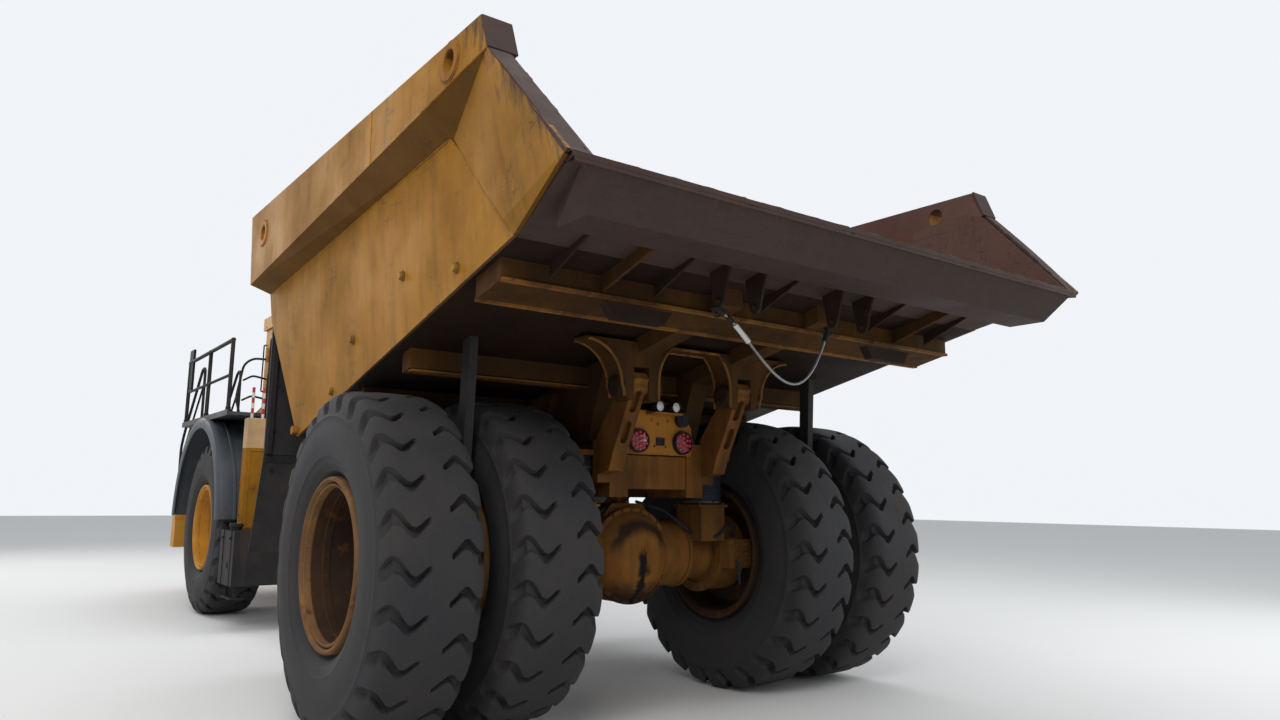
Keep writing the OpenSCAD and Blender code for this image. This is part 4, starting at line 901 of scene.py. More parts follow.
def makeBodyTrim(values):
    rings, r = Form(), values["eyeRing"]
    for y, z in values["eyes"]:
        eye = (at(y), z)
        rings.ring("x", values["rail"], values["rail"] + values["ringThick"], disc(eye, r, 48),
                   disc(eye, values["eyeHole"], 48))
        rings.ring("x", values["rail"], 2.226, disc(eye, r + 0.010, 48), disc(eye, r - 0.002, 48))
    makePiece("liftEyeRings", rings.mirrored(), "panelYellow", "dump_body", bevel=0.003)

    # dark plates that close the rails' rear ends, and the strips down the rear edges of the wings
    ends = Form()
    low, high = ((values["rail"], at(y), z) for y, z in values["railEnd"])
    loop = (low, high, (values["railInside"], *high[1:]), (values["railInside"], *low[1:]))
    thick = values["capThick"]
    plate = [[shift(p, 0, 0.932 * d, 0.364 * d) for p in loop] for d in (-0.5 * thick, thick)]
    ends.skin(plate, True, caps="last")
    top, foot = (Vector((x, at(y), z)) for x, y, z in (values["stripTop"], values["stripFoot"]))
    rows = []
    random.seed(11)
    for i in range(33):
        q = top.lerp(foot, i / 32)
        q.y += 0.011 * math.sin(math.pi * min(1.0, i / 30))
        dent = random.uniform(-0.004, 0.003) if 0 < i < 32 else 0
        inner = values["stripWide"] - 0.016 + random.uniform(-0.008, 0.006)
        moves = ((0, 0.004, 0), (-inner, 0.004 + dent, 0.004), (-inner, dent - 0.014, -0.012),
                 (-0.002, -0.014, -0.012))
        rows.append([shift(q, *move) for move in moves])
    ends.skin(rows, True)
    makePiece("bodyEndStrips", ends.mirrored(), "tailBrown", "dump_body", bevel=0.003)
    makeLiner(values)

    # lip along the tail, bent and torn in places
    lip, rows = Form(), []
    random.seed(3)
    for i, x in enumerate(span(values["lipHalf"], -values["lipHalf"], 121)):
        wave = 0.006 * math.sin(i * 0.9) + random.uniform(-0.004, 0.004)
        torn = values["lipTear"] if i in values["lipTears"] else 0.0
        section = ((2.5285, -0.020), (2.5285 - torn * 0.3, 0.027 - torn),
                   (2.518, 0.031 + wave * 0.5 - torn), (2.44 + wave, 0.012), (2.44 + wave, -0.010))
        rows.append([(x, at(y), floorAt(values["tail"]) + z) for y, z in section])
    lip.skin(rows, True)
    makePiece("tailLip", lip, "tailBrown", "dump_body", smooth=50)

    welds, studs = Form(), Form()
    for radius, points in values["welds"]:
        bead(welds, points, radius)
    makePiece("bodyWelds", welds.mirrored(), "bodyYellow", "dump_body", smooth=60)
    for y, z in values["studs"]:
        studs.turned((wallAt(z) - 0.001, at(y), z), alongX, values["stud"], 20)
    makePiece("wallStuds", studs.mirrored(), "railYellow", "dump_body", smooth=40)
    print("body trim is made")


makeBodyTrim(bodySet)


# Under the body: edges of the saddle, flanges of the cross beams, lugs, gussets and the hinge's pins

underSet = {
    "pin": (0.780, 2.240), "inner": 0.330, "outer": 0.620, "flare": 0.284, "arch": 2.278, "archTop": 2.528,
    "saddle": ((0.690, -0.004), (0.850, 0.004)), "edge": 0.011, "lugs": (0.71, 0.425, -0.255, -0.545),
    "flanges": (1.285, 1.565), "flangeWide": 0.045, "beamRibs": (-1.30, -0.42, 0.42, 1.30),
    "ribs": (-1.4, -0.7, 0.1), "gussets": (-1.62, -0.92, 0.12, 0.95, 1.66),
    "cap": [(0.078, -0.030), (0.078, 0.004), (0.070, 0.010), (0.030, 0.012), (0.026, 0.006), (0.0, 0.006)],
}


def makeUnderbody(values):
    edges, inner, outer = Form(), values["inner"], values["outer"]
    pinY, pinZ = values["pin"]
    flare = [(outer, 2.165), (outer + 0.004, 2.21)]
    flare += arc((outer + 0.020 + values["flare"], pinZ), values["flare"], 180, 92)
    # the arch, whose crown is cut flat under the floor
    reach = math.degrees(math.asin((values["archTop"] - values["arch"]) / inner))
    arch = [(inner, 2.150)] + arc((0, values["arch"]), inner, 0, reach)
    arch += [(-x, z) for x, z in arch[::-1]]
    for y, proud in values["saddle"]:
        edges.tube([(x, at(y + proud), z) for x, z in flare], values["edge"], 8)
    edges.mirrored()
    for y, proud in values["saddle"]:
        edges.tube([(x, at(y + proud), z) for x, z in arch], values["edge"], 8)
    for y in values["flanges"]:
        half, z = values["flangeWide"] / 2, floorAt(y) - 0.120
        edges.box((-1.935, at(y) - half, z - 0.008), (1.935, at(y) + half, z + 0.012))
    for x in values["beamRibs"]:
        rib = ((1.30, 0.118), (1.55, 0.118), (1.55, 0.05), (1.30, 0.05))
        edges.plate("x", x - 0.006, x + 0.006, [(at(y), floorAt(y) - z) for y, z in rib])
    for y in values["ribs"]:
        z = floorAt(y + 0.06) - 0.134
        edges.box((-1.85, at(y) - 0.02, z - 0.004), (1.85, at(y + 0.12) + 0.02, z + 0.010))
    makePiece("underEdges", edges, "edgeYellow", "dump_body", bevel=0.003)

    # boxes under the tail and pads that the body rests on, then small lugs and gussets
    lugs = Form()
    lugs.plate("y", at(1.60), at(1.668), [(0.93, 2.478), (1.28, 2.478), (1.34, 2.56), (0.87, 2.56)])
    lugs.box((0.335, at(-1.40), 1.902), (0.505, at(-1.10), 1.918))
    lugs.mirrored()
    lug = [(at(1.82), floorAt(1.82)), (at(1.86), 2.60), (at(1.885), 2.575), (at(1.915), 2.575),
           (at(1.94), 2.60), (at(2.00), floorAt(2.00))]
    gusset = [(at(1.60), floorAt(1.60) - 0.09), (at(1.60), floorAt(1.60)), (at(2.10), floorAt(2.10) + 0.01)]
    for x in values["lugs"]:
        lugs.plate("x", x - 0.009, x + 0.009, lug)
        lugs.bolt((x + 0.009, at(1.90), 2.615), alongX, 0.014, 0.022)
    for x in values["gussets"]:
        lugs.plate("x", x - 0.007, x + 0.007, gusset)
    makePiece("underLugs", lugs, "underDirtAndShade", "dump_body", bevel=0.003)

    # caps over the hinge pins' ends, with their locking plates
    pins = Form()
    pins.tube([(0.650, at(pinY), pinZ + 0.012), (0.662, at(pinY + 0.02), pinZ + 0.018)], 0.006, 8)
    pins.mirrored()
    for x, way in ((0.645, 1), (0.305, -1), (-0.645, -1), (-0.305, 1)):
        pins.turned((x, at(pinY), pinZ), (way, 0, 0), values["cap"], 32)
        pins.bolts((x + way * 0.008, at(pinY), pinZ), (way, 0, 0), 0.050, 4, 0.009, 0.012, 0.4)
    makePiece("hingePins", pins, "underDirtAndShade", "rear_frame", smooth=40)
    print("underbody is made")


makeUnderbody(underSet)
makeSling(cableSet)


# Tail lamps on their panel, with bezels, clusters of small lamps, a socket and the horn

lampSet = {
    "red": (0.205, 1.905, 0.087), "work": (0.075, 2.1543, 0.042), "horn": (-0.190, 4.1805, 2.075),
    "panel": 4.1805, "clusters": ((0.036, 6, 4.210), (0.062, 10, 4.2065)),
    "glow": [(0.018, 0), (0.017, 0.006), (0.009, 0.010), (0, 0.011)],
    "dot": [(0.0125, 0), (0.012, 0.006), (0.006, 0.0095), (0, 0.010)],
    "hornShape": [(0.030, 0), (0.056, 0.006), (0.058, 0.020), (0.053, 0.026), (0.053, 0.030),
                  (0.058, 0.036), (0.056, 0.046), (0.040, 0.050), (0.040, 0.047), (0.026, 0.046),
                  (0.024, 0.0502), (0.0, 0.0504)],
    "bolts": ((-0.075, 2.060), (0.075, 2.060), (0.02, 2.035), (-0.268, 1.832), (0.268, 1.832),
              (0.262, 2.010)),
}


def lampHousing(form, x, z, r, back, front):
    # a cup with a rolled rim, open to the rear
    deep = front - back
    cup = [(r * 0.72, 0), (r, 0.012), (r, deep), (r * 0.97, deep + 0.006), (r * 0.88, deep + 0.004),
           (r * 0.87, deep - 0.014), (0.0, deep - 0.014)]
    form.turned((x, back, z), alongY, cup, 40)


def makeTailLamps(values):
    shells, red, glow, white, trim = Form(), Form(), Form(), Form(), Form()
    x, z, r = values["red"]
    lampHousing(shells, x, z, r, 4.162, 4.2098)
    glass = [(r * 0.868, 0), (r * 0.868, 0.012), (r * 0.55, 0.021), (0.0, 0.024)]
    red.turned((x, 4.192, z), alongY, glass, 40)
    glow.turned((x, 4.213, z), alongY, values["glow"], 14)
    for ring, count, y in values["clusters"]:
        for a, b in disc((0, 0), ring, 2 * count)[1::2]:
            glow.turned((x + a, y, z + b), alongY, values["dot"], 12)
    x, z, r = values["work"]
    lampHousing(shells, x, z, r, 4.222, 4.2815)
    glass = [(r * 0.868, 0), (r * 0.86, 0.010), (r * 0.5, 0.016), (0.0, 0.018)]
    white.turned((x, 4.264, z), alongY, glass, 32)
    # stirrup that holds the lamp to the shelf
    for side in (x + r + 0.001, x - r - 0.001):
        shells.box((side - 0.002, 4.235, 2.1125), (side + 0.002, 4.262, z + 0.006))
    shells.bolt((x, 4.250, 2.1120), down, 0.008, 0.010)
    for form in (shells, red, glow, white):
        form.mirrored()
    x, y, z = values["horn"]
    shells.turned((x, y, z), alongY, values["hornShape"], 36)
    wire = [(x - 0.02, 4.19, z + 0.05), (x - 0.01, 4.21, 2.16), (-0.02, 4.235, 2.185), (0.03, 4.235, 2.180)]
    shells.tube(wire, 0.006, 8)
    # square socket between the red lamps
    y = values["panel"]
    shells.ring("y", y, y + 0.012, rectangle(-0.036, 0.036, 1.876, 1.934),
                rectangle(-0.028, 0.028, 1.884, 1.926))
    shells.box((-0.0275, y, 1.8845), (0.0275, y + 0.004, 1.9255))
    shells.boltGrid((-0.052, 0.052), (y,), (1.87,), alongY, 0.006, 0.006)
    for name, form, finish, smooth in (("tailLampShells", shells, "blackSteel", 35),
                                       ("tailLampLenses", red, "redLens", 60),
                                       ("tailLampClusters", glow, "redLamp", 60),
                                       ("workLampLenses", white, "whiteLens", 60)):
        makePiece(name, form, finish, "rear_frame", smooth=smooth, replaced=["tail_lamps"])
    for x, z in values["bolts"]:
        trim.bolt((x, 4.180, z), alongY, 0.010, 0.010)
    # hooked edge under the panel
    trim.plate("x", -0.298, 0.298, rectangle(4.160, 4.182, 1.808, 1.816))
    makePiece("tailPanelTrim", trim, "panelYellow", "rear_frame")
    print("tail lamps are made")


makeTailLamps(lampSet)


# Rear suspension gaiters, the bowl's cover and dome, flanges, brake lines and the guards' bolts

rearSet = {
    "strut": (0.615, 3.930, 1.4505), "strutHigh": 0.340, "folds": 7, "foldFrom": 0.030, "foldTo": 0.215,
    "bands": ((1.464, 0.158), (1.700, 0.169)), "bowl": (0.060, 3.920, 1.073),
    "dome": [(0.30, -0.03), (0.352, -0.03), (0.352, 0.004), (0.330, 0.008), (0.322, 0.008), (0.316, 0.016),
             (0.300, 0.040), (0.276, 0.072), (0.240, 0.100), (0.196, 0.124), (0.164, 0.134),
             (0.150, 0.1355), (0.070, 0.138), (0.0, 0.1385)],
    "plug": [(0.034, 0), (0.034, 0.010), (0.026, 0.014), (0.0, 0.014)],
    "flanges": ((0.470, 0.262), (0.735, 0.312)),
    "breather": [(0.020, 0), (0.020, 0.030), (0.030, 0.034), (0.030, 0.052), (0.0, 0.060)],
    # bend, radius and points of the brake lines
    "lines": (
        (0.06, 0.011, ((0.86, 4.02, 1.18), (0.86, 4.06, 1.27), (0.74, 4.10, 1.30), (0.64, 4.10, 1.20),
                       (0.50, 3.99, 1.215), (0.30, 3.86, 1.40), (0.10, 3.75, 1.47))),
        (0.05, 0.012, ((0.80, 4.128, 1.02), (0.80, 4.165, 0.98), (0.80, 4.165, 0.86), (0.88, 4.10, 0.84),
                       (0.90, 4.04, 0.90))),
        (0.10, 0.013, ((0.26, 3.70, 1.46), (0.30, 3.60, 1.60), (0.27, 3.40, 1.72), (0.245, 2.60, 1.72),
                       (0.245, 1.20, 1.55))),
    ),
    "guardBolts": (0.64, 1.05, 1.48, 1.90),
}


def makeRearAxleTrim(values):
    x, y, z = values["strut"]
    high, bottom = values["strutHigh"], values["foldFrom"]
    fold = [(0.138, 0.0), (0.149, 0.004)]
    for low in span(bottom, values["foldTo"], values["folds"] + 1)[:-1]:
        fold += [(0.150, low), (0.155, low + 0.006), (0.155, low + 0.015), (0.1505, low + 0.021)]
    fold += [(0.152, 0.222), (0.164, 0.226), (0.166, 0.236), (0.166, 0.300), (0.163, 0.308), (0.153, 0.312),
             (0.150, high - 0.004), (0.142, high - 0.0005)]
    gaiters = Form().turned((x, y, z), alongZ, fold, 44).mirrored()
    makePiece("strutGaiters", gaiters, "gaiter", "rear_frame", smooth=50, replaced=["rear_struts"])
    bands = Form()
    for z, r in values["bands"]:
        bands.turned((x, y, z), alongZ, [(0.150, 0), (r, 0.001), (r, 0.013), (0.150, 0.014)], 44)
        bands.box((x - 0.02, y + 0.150, z), (x + 0.02, y + 0.178, z + 0.014))
    makePiece("strutBands", bands.mirrored(), "castIron", "rear_frame", smooth=50)

    bowl = Form().turned(values["bowl"], alongY, values["dome"], 64)
    bowl.bolts(shift(values["bowl"], 0, 0.006, 0), alongY, 0.334, 24, 0.011, 0.014)
    # plug and level boss
    bowl.turned((0.035, 4.054, 1.112), alongY, values["plug"], 20)
    bowl.bolt((0.035, 4.066, 1.112), alongY, 0.016, 0.014)
    bowl.bolt((0.055, 4.040, 0.905), (0, 0.8, -0.6), 0.016, 0.016)
    makePiece("axleBowl", bowl, "bowlPaint", "rear_frame", smooth=40)

    # flanges along the arms, bolts of the callipers, foot plates of the struts
    trim = Form()
    for x, r in values["flanges"]:
        section = rectangle(r - 0.07, r, -0.016, 0.016)
        trim.turned((x, rearY, tyreRadius), alongX, section, 48, closed=True)
        trim.bolts((x - 0.016, rearY, tyreRadius), (-1, 0, 0), r - 0.020, 20, 0.009, 0.012)
    trim.boltGrid((0.80, 0.90), (4.125,), (0.998, 1.073, 1.148), alongY, 0.016, 0.020)
    trim.box((0.75, 3.925, 1.180), (0.85, 4.10, 1.196))
    trim.box((0.460, 3.770, 1.432), (0.750, 4.090, 1.4498))
    trim.boltGrid((0.485, 0.725), (3.80, 4.06), (1.4495,), alongZ, 0.014, 0.014)
    trim.mirrored()
    # humped top of the housing with its breather
    trim.plate("y", 3.62, 3.86, [(-0.16, 1.36), (0.28, 1.36), (0.20, 1.455), (-0.08, 1.455)])
    trim.turned((0.06, 3.74, 1.455), alongZ, values["breather"], 16)
    makePiece("axleTrim", trim, "axleYellow", "rear_frame", bevel=0.003, smooth=40)

    lines, guards = Form(), Form()
    for bend, radius, points in values["lines"]:
        lines.pipe(points, radius, bend)
    makePiece("brakeLines", lines.mirrored(), "gaiter", "rear_frame", smooth=60)
    guards.boltGrid(values["guardBolts"], (1.0705,), (2.05, 2.45, 2.90), alongY, 0.014, 0.012)
    guards.boltGrid(values["guardBolts"], (1.0645,), (1.70, 1.80), alongY, 0.012, 0.012)
    guards.box((0.565, 1.0645, 1.770), (1.97, 1.072, 1.835))
    for x in (0.575, 1.94):
        guards.box((x - 0.02, 1.070, 1.845), (x + 0.02, 1.105, 2.995))
    makePiece("guardTrim", guards.mirrored(), "blackSteel", "rear_frame", bevel=0.002, smooth=40)
    print("rear axle trim is made")


makeRearAxleTrim(rearSet)


# Fenders: rolled edges and ribs, tread plate, rails by the stairs and the step loops behind them

fenderSet = {
    "centre": (frontY, tyreRadius), "radius": 1.340, "thick": 0.045, "outer": 1.675,
    "skirt": 0.085, "low": 1.200, "crown": 2.418, "ribs": (1.10, 1.30, 1.50),
    "stays": (1.05, 1.24, 1.42, 1.60),
    "rib": ((-0.022, 0.0), (-0.012, 0.009), (0.012, 0.009), (0.022, 0.0)),
    "deck": (0.870, 1.650, -4.670, -1.970, 2.460), "studs": (46, 13), "stud": (0.019, 0.006),
    "stairFoot": (-5.890, 1.4303), "stairRise": (1.120, 1.0297), "stair": (0.975, 1.405),
    "railX": (0.952, 1.428), "posts": (-4.57, -3.27, -2.07), "markers": (1.295, 1.415), "band": 0.062,
    # radius, bend and points of the leaning post and the step loops over the panel box
    "loops": (
        (0.014, 0.06, ((1.50, -2.00, 2.40), (1.56, -2.02, 2.62), (1.52, -1.93, 3.02), (1.43, -1.90, 3.10),
                       (1.28, -1.88, 3.10))),
        (0.012, 0.05, ((1.24, -1.90, 2.62), (1.44, -1.80, 2.64), (1.50, -1.98, 2.60))),
        (0.012, 0.05, ((1.24, -1.90, 2.86), (1.44, -1.80, 2.88), (1.50, -1.98, 2.84))),
        (0.014, 0.06, ((1.25, -1.90, 2.37), (1.25, -1.86, 2.95), (1.16, -1.93, 3.02), (1.02, -1.98, 3.02),
                       (1.00, -2.00, 2.46))),
    ),
}


def makeFenderEdges(values):
    (y0, z0), r, t = values["centre"], values["radius"], values["thick"]
    x, skirt, top = values["outer"], r - values["skirt"], r + t
    low = math.asin((values["low"] - z0) / r)
    angles = span(low, math.pi - low, 61)
    # rolled outer edge that turns down over the tyre's shoulder
    shape = [(-0.16, top + 0.001), (-0.05, top + 0.010), (0.005, top - 0.002), (0.022, r + 0.020),
             (0.024, r - 0.050), (0.018, skirt), (0.006, skirt - 0.004), (0.004, skirt + 0.010),
             (0.004, r - 0.002), (-0.12, r - 0.003)]
    rows = [[(x + dx, y0 + math.cos(a) * d, z0 + math.sin(a) * d) for dx, d in shape] for a in angles]
    shell = Form().skin(rows, True, caps=True)
    # ribs pressed in the crown, the shell's stays and their bolts
    crown = [a for a in angles if z0 + math.sin(a) * (top + 0.012) < values["crown"]]
    half = len(crown) // 2
    for x in values["ribs"]:
        for part in (crown[:half], crown[half:]):
            shell.skin([[(x + d, y0 + math.cos(a) * (top + h), z0 + math.sin(a) * (top + h))
                         for d, h in values["rib"]] for a in part])
    for s in (-1, 1):
        y = y0 + s * (top + 0.004)
        shell.box((1.02, y, 1.30), (1.08, y + s * 0.02, 1.42))
        for x in values["stays"]:
            spot = (x, y0 + s * math.cos(low + 0.10) * top, z0 + math.sin(low + 0.10) * top)
            shell.bolt(spot, (0, s, 0.1), 0.014, 0.012)
    makePiece("fenderEdges", shell.mirrored(), "plastic", "tractor", smooth=40)


def makeTread(values):
    tread = Form()
    x0, x1, y0, y1, z = values["deck"]
    rows, columns = values["studs"]
    long, wide = values["stud"]
    for i in range(rows):
        for k in range(columns):
            x = x0 + 0.03 + (x1 - x0 - 0.05) * (k + 0.5) / columns
            y = y0 + 0.04 + (y1 - y0 - 0.08) * (i + 0.5) / rows
            a, b = (long, wide) if (i + k) % 2 else (wide, long)
            tread.skin([[(x - a * n, y, z + h), (x, y - b * n, z + h), (x + a * n, y, z + h),
                         (x, y + b * n, z + h)] for n, h in ((1, 0), (0.6, 0.004))], True, caps="last")
    tread.box((x1 - 0.004, y0, z - 0.045), (x1 + 0.004, y1, z + 0.022))
    tread.box((x0, y0 - 0.004, z - 0.045), (x1, y0 + 0.004, z + 0.022))
    # nosing bars on the stairs
    a, b = values["stair"]
    for k in range(1, 5):
        y, z = (foot + rise * k / 5 for foot, rise in zip(values["stairFoot"], values["stairRise"]))
        for m in range(5):
            edge = y - 0.05 + 0.042 * m
            tread.box((a, edge, z), (b, edge + 0.008, z + 0.006))
    makePiece("deckTread", tread.mirrored(), "stepSteel", "tractor", smooth=30)


def makeAccessRails(values):
    rails, white, red = Form(), Form(), Form()
    deck = values["deck"][4] + 0.0005
    for x in values["railX"]:
        rails.pipe([(x, y, z) for y, z in ((-5.84, 1.431), (-5.89, 2.18), (-5.72, 2.40), (-4.74, 3.28),
                                           (-4.58, 3.28), (-4.56, 2.46))], 0.019, 0.10, 12)
        rails.tube([(x, -5.88, 1.95), (x, -4.62, 3.02)], 0.014, 10)
        rails.turned((x, -5.84, bumperTop), alongZ, [(0.021, 0), (0.021, 0.020), (0.019, 0.024)], 20)
        rails.turned((x, -4.56, deck), alongZ, [(0.045, 0), (0.045, 0.008), (0.020, 0.012)], 20)
    # feet of the deck's posts
    for y in values["posts"]:
        foot = [(0.024, 0), (0.024, 0.060), (0.030, 0.060), (0.030, 0.0), (0.024, 0.0)]
        rails.turned((1.625, y, deck), alongZ, foot, 20)
    for radius, bend, points in values["loops"]:
        rails.pipe(points, radius, bend)
    rails.mirrored()
    # plates under the posts' feet
    for x in (1.625, -1.625):
        for y in values["posts"]:
            rails.box((x - 0.05, y - 0.05, deck), (x + 0.02, y + 0.05, 2.468))
    makePiece("accessRails", rails, "blackSteel", "tractor", smooth=60)
    # marker posts banded red and white, over the panel boxes
    for x in values["markers"]:
        for k in range(6):
            post = [(0.017, 0), (0.017, values["band"])]
            (red if k % 2 else white).turned((x, -1.800, 2.3705 + values["band"] * k), alongZ, post, 16)
    makePiece("markerPostsWhite", white.mirrored(), "paleMark", "tractor", smooth=50)
    makePiece("markerPostsRed", red.mirrored(), "redMark", "tractor", smooth=50)
    print("fender trim is made")


makeFenderEdges(fenderSet)
makeTread(fenderSet)
makeAccessRails(fenderSet)


# Panel boxes and tanks

tankSet = {
    "box": (0.930, 1.478, -1.850, -1.690), "cap": (2.020, 2.370),
    "hole": (-1.77, 1.235), "sight": (-1.42, 0.72),
    "tank": (0.510, 1.640, -1.850, -1.220, 0.500, 1.090), "boxFront": -1.68,
    "latch": [(0.034, 0), (0.034, 0.006), (0.020, 0.008), (0.018, 0.020), (0.0, 0.020)],
    "filler": [(0.060, 0), (0.060, 0.035), (0.074, 0.037), (0.074, 0.070), (0.066, 0.078), (0.0, 0.080)],
}


def makeTankTrim(values):
    x0, x1, y0, y1 = values["box"]
    low, top = values["cap"]
    cap = Form().box((x0 - 0.003, y0 - 0.003, low), (x1 + 0.003, y1 + 0.003, top + 0.003))
    makePiece("panelBoxCaps", cap.mirrored(), "paleYellow", "tractor", bevel=0.008)
    # door in the box's rear face, with hinges and a latch
    trim = Form()
    left, right = x0 + 0.03, x1 - 0.03
    for a, b, c, d in ((left, 1.13, left + 0.02, 1.99), (right - 0.02, 1.13, right, 1.99),
                       (left, 1.11, right, 1.13), (left, 1.99, right, 2.01)):
        trim.box((a, y1 - 0.001, b), (c, y1 + 0.010, d))
    for z in (1.30, 1.82):
        trim.turned((x0 + 0.04, y1 + 0.012, z), alongZ, [(0.011, 0), (0.011, 0.09)], 12)
    trim.turned((x1 - 0.10, y1 + 0.001, 1.58), alongY, values["latch"], 20)
    trim.box((x1 - 0.106, y1 + 0.012, 1.52), (x1 - 0.094, y1 + 0.024, 1.60))
    # round hole with a rim low on the outer face
    trim.ring("x", x1, x1 + 0.008, disc(values["hole"], 0.052, 28), disc(values["hole"], 0.034, 28))
    trim.boltGrid((x1,), (-1.83,), (1.35, 1.62, 1.90), alongX, 0.010, 0.010)
    makePiece("panelBoxTrim", trim.mirrored(), "bodyYellow", "tractor", bevel=0.002, smooth=40)
    # a dark disc in the hole, as painted shade for its depth
    hole = Form().turned((x1, *values["hole"]), alongX, [(0.034, 0.0006), (0.0, 0.0008)], 28)
    makePiece("panelBoxHoleShade", hole.mirrored(), "seatCloth", "tractor")

    x0, x1, y0, y1, z0, z1 = values["tank"]
    straps = Form()
    for y in (y0 + 0.12, y1 - 0.16):
        straps.box((x0 - 0.006, y, z0 - 0.006), (x1 + 0.007, y + 0.05, z0))
        straps.box((x1, y, z0 - 0.006), (x1 + 0.007, y + 0.05, z1 + 0.006))
        straps.bolt((x1 + 0.007, y + 0.025, z1 - 0.08), alongX, 0.014, 0.016)
        # the panel box stands where the other strap's top would be
        if y > values["boxFront"]:
            straps.box((x0 - 0.006, y, z1), (x1 + 0.007, y + 0.05, z1 + 0.006))
    # filler neck and cap, drain, sight glass
    straps.turned((1.56, -1.50, z1), alongZ, values["filler"], 28)
    straps.bolt((1.20, -1.55, z0), down, 0.022, 0.018)
    straps.ring("x", x1, x1 + 0.010, disc(values["sight"], 0.040, 24), disc(values["sight"], 0.028, 24))
    # step hung from the tank
    for y in (-1.74, -1.36):
        straps.box((1.54, y, 0.36), (1.58, y + 0.012, 0.51))
    straps.mirrored()
    for x in (1.56, -1.56):
        straps.box((x - 0.09, -1.75, 0.350), (x + 0.06, -1.34, 0.366))
    makePiece("tankFittings", straps, "blackSteel", "tractor", bevel=0.002, smooth=40)
    print("tank trim is made")


makeTankTrim(tankSet)


# Hood: screens behind its openings, dark sheets of painted shade behind them, slats, seams, latches and
# lifting handle

hoodSet = {
    "half": 0.780, "y": (-5.990, -3.740), "grille": (0.520, 1.780, 2.180), "wires": (41, 17), "slats": 6,
    "latches": (-3.85, -5.30), "front": 0.040,
    "slat": ((-0.002, -0.012), (-0.034, 0.012), (-0.031, 0.015), (0.001, -0.009)),
    # rear lower corner, length, height, and how far the rear edge leans
    "vents": ((-4.320, 0.720, 2.090, 0.210, 0.090), (-4.220, 0.860, 1.780, 0.210, 0.090)),
}


def ventOutline(vent, grow=0.0):
    y, long, z, tall, lean = vent
    top, back = z + tall + grow, y - long - grow
    return [(y + grow, z - grow), (y - hoodSet["front"] + grow, top), (back + lean, top), (back, z - grow)]


def makeHoodTrim(values):
    half, (y0, y1) = values["half"], values["y"]
    dark, trim, slats = Form(), Form(), Form()
    for vent in values["vents"]:
        y, long, z, tall, lean = vent
        trim.ring("x", half, half + 0.006, ventOutline(vent, 0.020), ventOutline(vent, -0.002))
        # a dark plate inside each vent, as painted shade
        dark.plate("x", half - 0.050, half - 0.046, ventOutline(vent))
        for k in range(values["slats"]):
            part = (k + 0.5) / values["slats"]
            ends = (y - values["front"] * part - 0.004, y - long + lean * part + 0.004)
            rows = [[(half + d, end, z + tall * part + h) for d, h in values["slat"]] for end in ends]
            slats.skin(rows, True, caps=True)
    # latches, side seam, corner bead, handle, and bolts along the top
    for y in values["latches"]:
        trim.box((half, y - 0.04, 1.655), (half + 0.020, y + 0.04, 1.735))
        trim.turned((half + 0.018, y, 1.695), alongX, [(0.020, 0), (0.020, 0.008), (0.0, 0.010)], 16)
    trim.tube([(half + 0.001, y0 + 0.132, 2.322), (half + 0.001, y1 - 0.002, 2.752)], 0.006, 8)
    trim.tube([(half - 0.10, y0 + 0.14, 2.332), (half - 0.10, y1 - 0.002, 2.762)], 0.007, 8)
    handle = ((0.46, y0), (0.46, y0 - 0.05), (0.20, y0 - 0.05), (0.20, y0))
    trim.pipe([(x, y, 2.205) for x, y in handle], 0.010, 0.03)
    for y in span(-5.70, -3.90, 7):
        trim.bolt((0.74, y, 2.326 + 0.43 * (y + 5.86) / 2.12), (0, -0.2, 1), 0.010, 0.010)
    for form in (trim, dark, slats):
        form.mirrored()
    x, z0, z1 = values["grille"]
    trim.ring("y", y0 - 0.007, y0, rectangle(-x - 0.03, x + 0.03, z0 - 0.03, z1 + 0.02),
              rectangle(-x + 0.002, x - 0.002, z0 + 0.002, z1 - 0.002))
    # wire screen behind the grille, and a dark sheet beyond it as painted shade
    across, up = values["wires"]
    for a in span(-x, x, across):
        slats.box((a - 0.0015, y0 + 0.020, z0 - 0.004), (a + 0.0015, y0 + 0.023, z1 + 0.004))
    for z in span(z0, z1, up):
        slats.box((-x - 0.004, y0 + 0.017, z - 0.0015), (x + 0.004, y0 + 0.020, z + 0.0015))
    dark.box((-x - 0.02, y0 + 0.060, z0 - 0.02), (x + 0.02, y0 + 0.064, z1 + 0.02))
    makePiece("hoodTrim", trim, "cabYellow", "engine_hood", bevel=0.002, smooth=40)
    makePiece("hoodScreens", slats, "blackSteel", "engine_hood", smooth=30)
    makePiece("hoodPaintedShade", dark, "seatCloth", "engine_hood")
    print("hood trim is made")


makeHoodTrim(hoodSet)


# Bumper and head lamps

noseSet = {
    "lamp": (0.870, -5.970, 1.555), "lampRadius": 0.047, "podHalf": 0.069,
    "turn": (1.24, -5.930), "face": -6.260,
    "pod": [(0.030, bumperTop), (0.215, bumperTop), (0.215, 1.640), (0.180, 1.679), (0.001, 1.679),
            (0.001, 1.650), (0.030, 1.640)],
    "hook": [(0.070, -0.01), (0.070, 0.0005), (0.044, 0.0005), (0.040, -0.008), (0.0, -0.008)],
}


